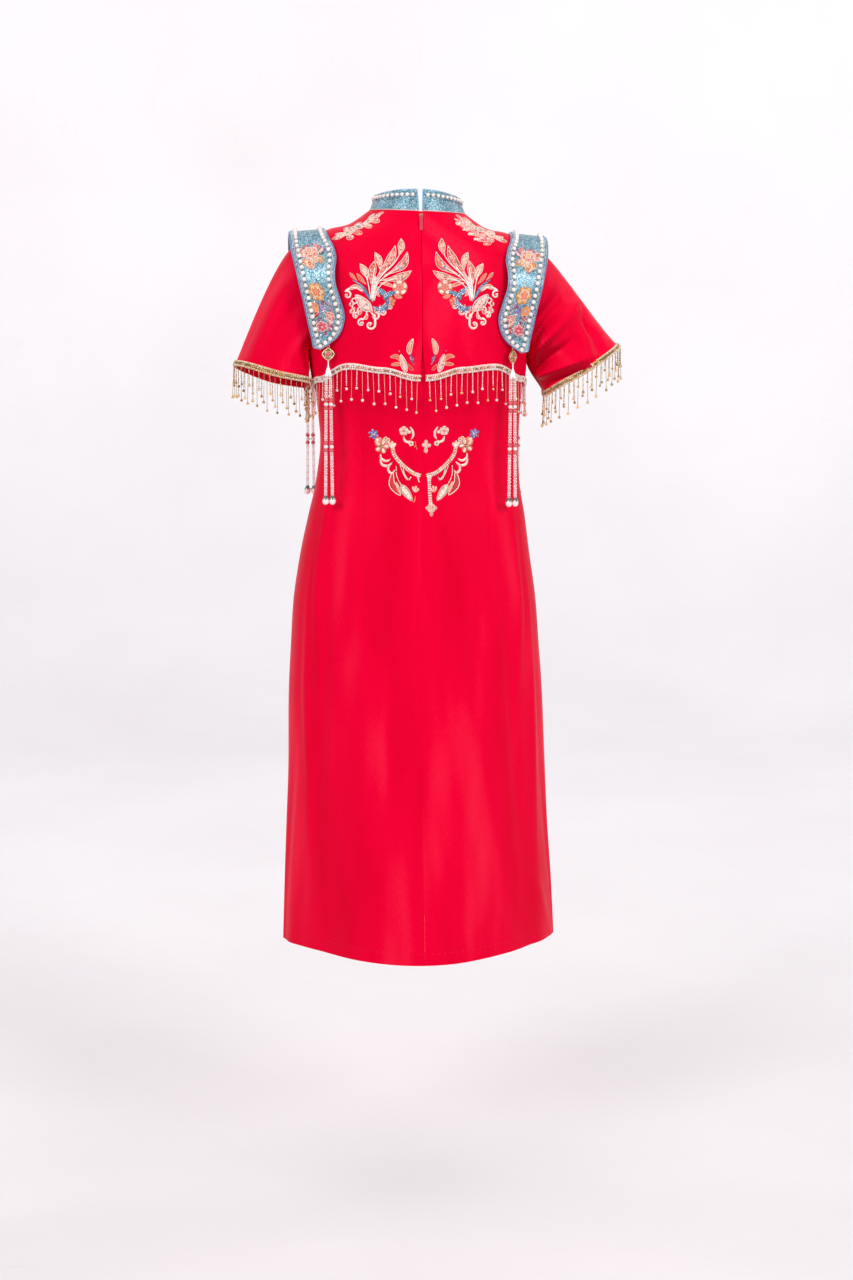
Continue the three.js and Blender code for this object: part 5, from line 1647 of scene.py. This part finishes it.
def makeMedallion(place, spec):
    look = medallionLook
    middle, face = look["middle"], look["face"]
    at, out = turnedPlace(spec["eye"], spec["turn"])
    trim = Trim(60)

    def goldRing(points, thick):
        trim.cord(points, thick * mm, "gold", closed=True)

    loop, wire = look["loop"]
    goldRing([at(u, 0, w - 1.6) for u, w in circle(loop, 14)], wire)
    trim.bead(at(0, 0, 0.5), 2.4 * mm, "blue")
    plate = circle(look["half"], 40, look["fullness"])
    layers = ((0, -1.2), (0.84, -1.2), (0.97, -0.7), (0.97, 0.7), (0.84, 1.2), (0, 1.2))
    rings = [[at(u * scale, v, middle + w * scale) for u, w in plate] for scale, v in layers]
    trim.sweep(np.array(rings), "black")
    for side in (-1, 1):
        goldRing([at(u, side, middle + w) for u, w in plate * look["rimShare"]], look["rim"])
        radius, thick = look["ring"]
        goldRing([at(u, side * face, middle + w) for u, w in circle(radius, 20)], thick)
        trim.bead(at(0, side * face, middle), sized(look["stone"]), "red", out, True)
        trim.bead(at(0, side * 2.5, middle), sized(look["boss"]), "gold", out)
        for u, w in circle(look["dotRing"], 8)[1::2]:
            trim.bead(at(u, side * face, middle + w), sized(look["dots"]), "gold", out)
    trim.piece("medallion_" + place + "_enamel", "tassel_" + place, "enamel", "medallion_" + place)


# Two bundles of thread that part below the knot
def makeTuft(place, spec):
    look = tuftLook
    neck = look["neck"]
    at = turnedPlace(spec["eye"], spec["turn"])[0]
    below = turnedPlace(spec["eye"], spec["strands"])[0]
    tuft = Trim(61)
    for hand in (1, -1):
        for c, s in circle(1, look["threads"]):
            path = smoothLine((
                (hand * 0.2, 0.2 * s, neck + 1),
                (hand * 0.2 + 0.3 * c, 0.3 * s, neck - 7),
                (hand * 1.3 + 1.3 * c, 1.3 * s, neck - 13),
                (hand * strandLook["gap"] / 2 + 1.9 * c, 1.8 * s, strandLook["top"] - 3),
            ), 9)
            tuft.cord([below(*p) for p in path], look["thread"] * mm, "white", 5)
    tuft.bead(at(0, 0, neck + 0.4), sized(look["knot"]), "white", (0, 0, 1), True)
    tuft.piece("medallion_" + place + "_tuft", "tassel_" + place, "braid", finish="thread")


def makeStrand(place, spec, letter, hand):
    look = strandLook
    turned = turnedPlace(spec["eye"], spec["strands"])[0]
    upright = (0, 0, 1)

    def at(u, v, down):
        return turned(hand * (look["gap"] / 2 + look["lean"] * down) + u, v, look["top"] - down)

    trim = Trim(62)
    spans = [(0, look["clusters"][0][0])]
    for (start, long), after in zip(look["clusters"], (look["clusters"][1][0], look["beadsEnd"])):
        spans.append((start + long, after))
        middle = start + long / 2
        for part in (-1, 1):
            trim.bead(at(0, 0, middle + part * (long / 2 - 2.6)), sized(look["ball"]), "red", upright, True)
            for u, v in circle(2.1, 5):
                trim.bead(at(u, v, middle + part * (long / 2 - 0.8)), look["studs"] * mm, "red")
        trim.bead(at(0, 0, middle), sized(look["pearl"]), "pearl", upright, True)
        trim.bead(at(hand * -3.2, 1.4, middle), look["leaf"] * mm, "green")
    for start, end in spans:
        count = int((end - start) / look["bead"])
        for k in range(count):
            down = start + (k + 0.5) * (end - start) / count
            for turn in (0, math.pi * 2 / 3, math.pi * 4 / 3):
                a = down / look["twist"] * 2 * math.pi + turn
                spot = at(look["wide"] * math.cos(a), look["wide"] * math.sin(a), down)
                trim.bead(spot, look["bead"] * mm, ("white", "pink", "white", "ivory")[k % 4])
    *cap, capDown = look["cap"]
    trim.bead(at(0, 0, capDown), sized(cap), "green", upright, True)
    for k in range(5):
        a = 2 * math.pi / 5 * k + 0.4
        spot = at(3.4 * math.cos(a), 3.4 * math.sin(a), capDown + 2.6)
        trim.bead(spot, sized(look["sepal"]), "green", (math.cos(a) * 0.8, math.sin(a) * 0.8, -1))
    *bulb, bulbDown = look["bulb"]
    trim.bead(at(0, 0, bulbDown), sized(bulb), "bulb", upright, True)
    name = "strand_" + place + "_" + letter
    trim.piece(name + "_beads", "tassel_" + place, "pearl", name)


for place, spec in tassels.items():
    makeMedallion(place, spec)
    makeTuft(place, spec)
    for letter, hand in (("a", 1), ("b", -1)):
        makeStrand(place, spec, letter, hand)
print("tassels made")

# Zip at the centre back and the hand stitches of the hem
zipLook = {
    "top": 0.12, "bottom": 14.0, "half": 11, "thick": 0.8, "behind": 0.6, "bow": 0.0045,
    "tooth": (3.2, 1.1), "pitch": 2.0, "stagger": 0.7,
}
hemLook = {"up": 24, "levelHeight": 90, "pitch": 9.5, "long": 3.6, "radius": 0.22}


def makeZip():
    look = zipLook
    rows = evenLevels(look["top"], look["bottom"], 120)
    across = np.linspace(-1, 1, 7) * look["half"]
    back = surfacePoint(rows, middleBack(rows))
    normal = surfaceNormal(rows, middleBack(rows))
    grid = back[:, None] - normal[:, None] * (clothThickness + look["behind"])
    grid = grid + across[None, :, None] * np.array([1, 0, 0])
    grid[..., 1] -= (across**2)[None, :] * look["bow"]
    tape = clothSheet("zip_tape_cloth", grid, (0, 1, 0), "tape", look["thick"])
    wear(tape, "garment", "zip_tape", "zip_tape")
    teeth = Trim(80)
    inner = back - normal * (clothThickness + look["behind"] + look["thick"])
    wide, thick = look["tooth"]
    for k, z in enumerate(np.arange(back[0, 2] - 2, back[-1, 2] + 6, -look["pitch"])):
        place = pointAt(inner, -back[:, 2], -z)
        side = look["stagger"] if k % 2 else -look["stagger"]
        teeth.bead((place + (side, -0.5, 0)) * mm, (thick * mm, wide * mm), "rose", (1, 0, 0))
    teeth.piece("zip_teeth", "garment", "zip_tape")


makeZip()


def makeHemStitches():
    look = hemLook
    stitches = Trim(81)
    angles = np.linspace(0, 360, 1440, endpoint=False)
    level = np.full_like(angles, hemLevel - look["up"] / look["levelHeight"])
    line = clothPoint(level, angles, np.full_like(angles, 0.1))
    lengths = lengthsAlong(line)
    for start in np.arange(0, lengths[-1] - look["long"], look["pitch"]):
        path = pointAt(line, lengths, start + np.array((0, 0.5, 1)) * look["long"])
        stitches.cord(path * mm, look["radius"] * mm, "red", 4)
    stitches.piece("hem_stitches", "garment", "satin", finish="thread")


makeHemStitches()
print("zip and hem stitches made")


# Floor, light and camera
stageLook = {"floor": -1.52, "reach": 9, "curve": 1.4, "behind": -3.2}


def stageFinish():
    paint = Paint("paleFloor", Roughness=0.55)
    place = paint.objectPlace()
    cloud = paint.noise(place, 1.3, 4)
    scuff = paint.noise(paint.stretched(place, (2, 9, 1)), 6, 8, 0.7)
    worn = paint.ramp(scuff, ((0.3, (0, 0, 0)), (0.62, (0, 0, 0)), (0.7, (1, 1, 1))))
    base = paint.ramp(cloud, ((0.3, (0.885, 0.85, 0.868)), (0.7, (0.94, 0.91, 0.925))))
    paint.set("Base Color", paint.mix(0.05 * worn, base, (0.55, 0.5, 0.5)))
    return paint.material


finishes["stage"] = stageFinish()


def makeStage():
    bm = bmesh.new()
    look = stageLook
    reach = look["reach"]
    start = bm.verts.new((-reach, reach, look["floor"]))
    line = [start]
    for k in range(13):
        a = math.pi / 2 * k / 12
        y = look["behind"] - look["curve"] * math.sin(a)
        line.append(bm.verts.new((-reach, y, look["floor"] + look["curve"] * (1 - math.cos(a)))))
    line.append(bm.verts.new((-reach, look["behind"] - look["curve"], look["floor"] + reach)))
    edges = [bm.edges.new(pair) for pair in zip(line, line[1:])]
    swept = bmesh.ops.extrude_edge_only(bm, edges=edges)
    moved = [v for v in swept["geom"] if isinstance(v, bmesh.types.BMVert)]
    bmesh.ops.translate(bm, verts=moved, vec=(2 * reach, 0, 0))
    bmesh.ops.recalc_face_normals(bm, faces=bm.faces)
    floor = meshPiece("studioSweep", bm, "stage")


makeStage()

# Cuts of the cloth: flat width and length in metres, flat area in square metres, the cloths it lies on or
# hangs from, the trims sewn to it
sheets = {
    "dress_front": (0.56, 1.12, 0.498, ("collar",), ()),
    "dress_back_left": (0.28, 1.16, 0.258, ("collar",), ("hem_stitches",)),
    "dress_back_right": (0.28, 1.16, 0.258, ("collar",), ()),
    "overlay_front": (
        0.46, 0.26, 0.094, ("dress_front",), ("hem_braid_front_beads", "hem_fringe_front_beads"),
    ),
    "overlay_back_left": (0.22, 0.27, 0.049, ("dress_back_left",),
                          ("hem_braid_back_left_beads", "hem_fringe_back_left_beads")),
    "overlay_back_right": (0.22, 0.27, 0.049, ("dress_back_right",),
                           ("hem_braid_back_right_beads", "hem_fringe_back_right_beads")),
    "sleeve_left": (0.4, 0.19, 0.052, ("overlay_back_left", "overlay_front"),
                    ("cuff_braid_left_beads", "cuff_fringe_left_beads")),
    "sleeve_right": (0.4, 0.2, 0.057, ("overlay_back_right", "overlay_front"),
                     ("cuff_braid_right_beads", "cuff_fringe_right_beads")),
    "collar": (0.37, 0.042, 0.0125, ("overlay_front",), ("collar_beads",)),
    "shoulder_band_left": (0.075, 0.47, 0.024, ("overlay_front", "overlay_back_left"),
                           ("shoulder_band_left_beads",)),
    "shoulder_band_right": (0.075, 0.47, 0.024, ("overlay_front", "overlay_back_right"),
                            ("shoulder_band_right_beads",)),
    "zip_tape": (0.022, 0.5, 0.011, ("dress_back_left", "dress_back_right"), ("zip_teeth",)),
}
for name, (width, length, area, under, sewn) in sheets.items():
    bpy.data.objects[name + "_cloth"]

lights = {
    "keyLeft": {"at": (2.6, 3.4, 1.6), "to": (0, 0, -0.5), "size": 1.5, "watts": 80},
    "keyRight": {"at": (-2.6, 3.4, 1.4), "to": (0, 0, -0.5), "size": 1.5, "watts": 86},
    "overhead": {"at": (0, 0.2, 2.6), "to": (0, 0, -0.6), "size": 3.4, "watts": 34},
    "wallLeft": {"at": (2.8, -1.2, 1.2), "to": (0.8, -4.4, 0.2), "size": 1.6, "watts": 40},
    "wallRight": {"at": (-2.8, -1.2, 1.2), "to": (-0.8, -4.4, 0.2), "size": 1.6, "watts": 46},
}
for name, light in lights.items():
    lamp = bpy.data.lights.new(name, "AREA")
    lamp.shape = "SQUARE"
    lamp.size = light["size"]
    lamp.energy = light["watts"]
    place = bpy.data.objects.new(name, lamp)
    place.location = light["at"]
    place.rotation_euler = (Vector(light["to"]) - Vector(light["at"])).to_track_quat("-Z", "Y").to_euler()
    bpy.context.collection.objects.link(place)

world = bpy.data.worlds.new("studio")
world.use_nodes = True
world.node_tree.nodes["Background"].inputs["Color"].default_value = (0.98, 0.975, 1.0, 1)
world.node_tree.nodes["Background"].inputs["Strength"].default_value = 0.36
bpy.context.scene.world = world
bpy.context.scene.view_settings.view_transform = "Standard"

# shift: sideways, as a share of the picture's width
cameraLook = {
    "distance": 3.92, "height": 0.065, "turn": 4.0, "pitch": 10.27, "lens": 73.125, "sensor": 36,
    "shift": 0.00703125,
}


def placeCamera(look):
    camera = bpy.data.cameras.new("camera")
    camera.sensor_width = look["sensor"]
    camera.lens = look["lens"]
    camera.shift_x = look["shift"]
    turn = math.radians(look["turn"])
    place = bpy.data.objects.new("camera", camera)
    place.location = (look["distance"] * math.sin(turn), look["distance"] * math.cos(turn), look["height"])
    place.rotation_euler = (math.radians(90 - look["pitch"]), 0, math.pi - turn)
    bpy.context.collection.objects.link(place)
    bpy.context.scene.camera = place


placeCamera(cameraLook)
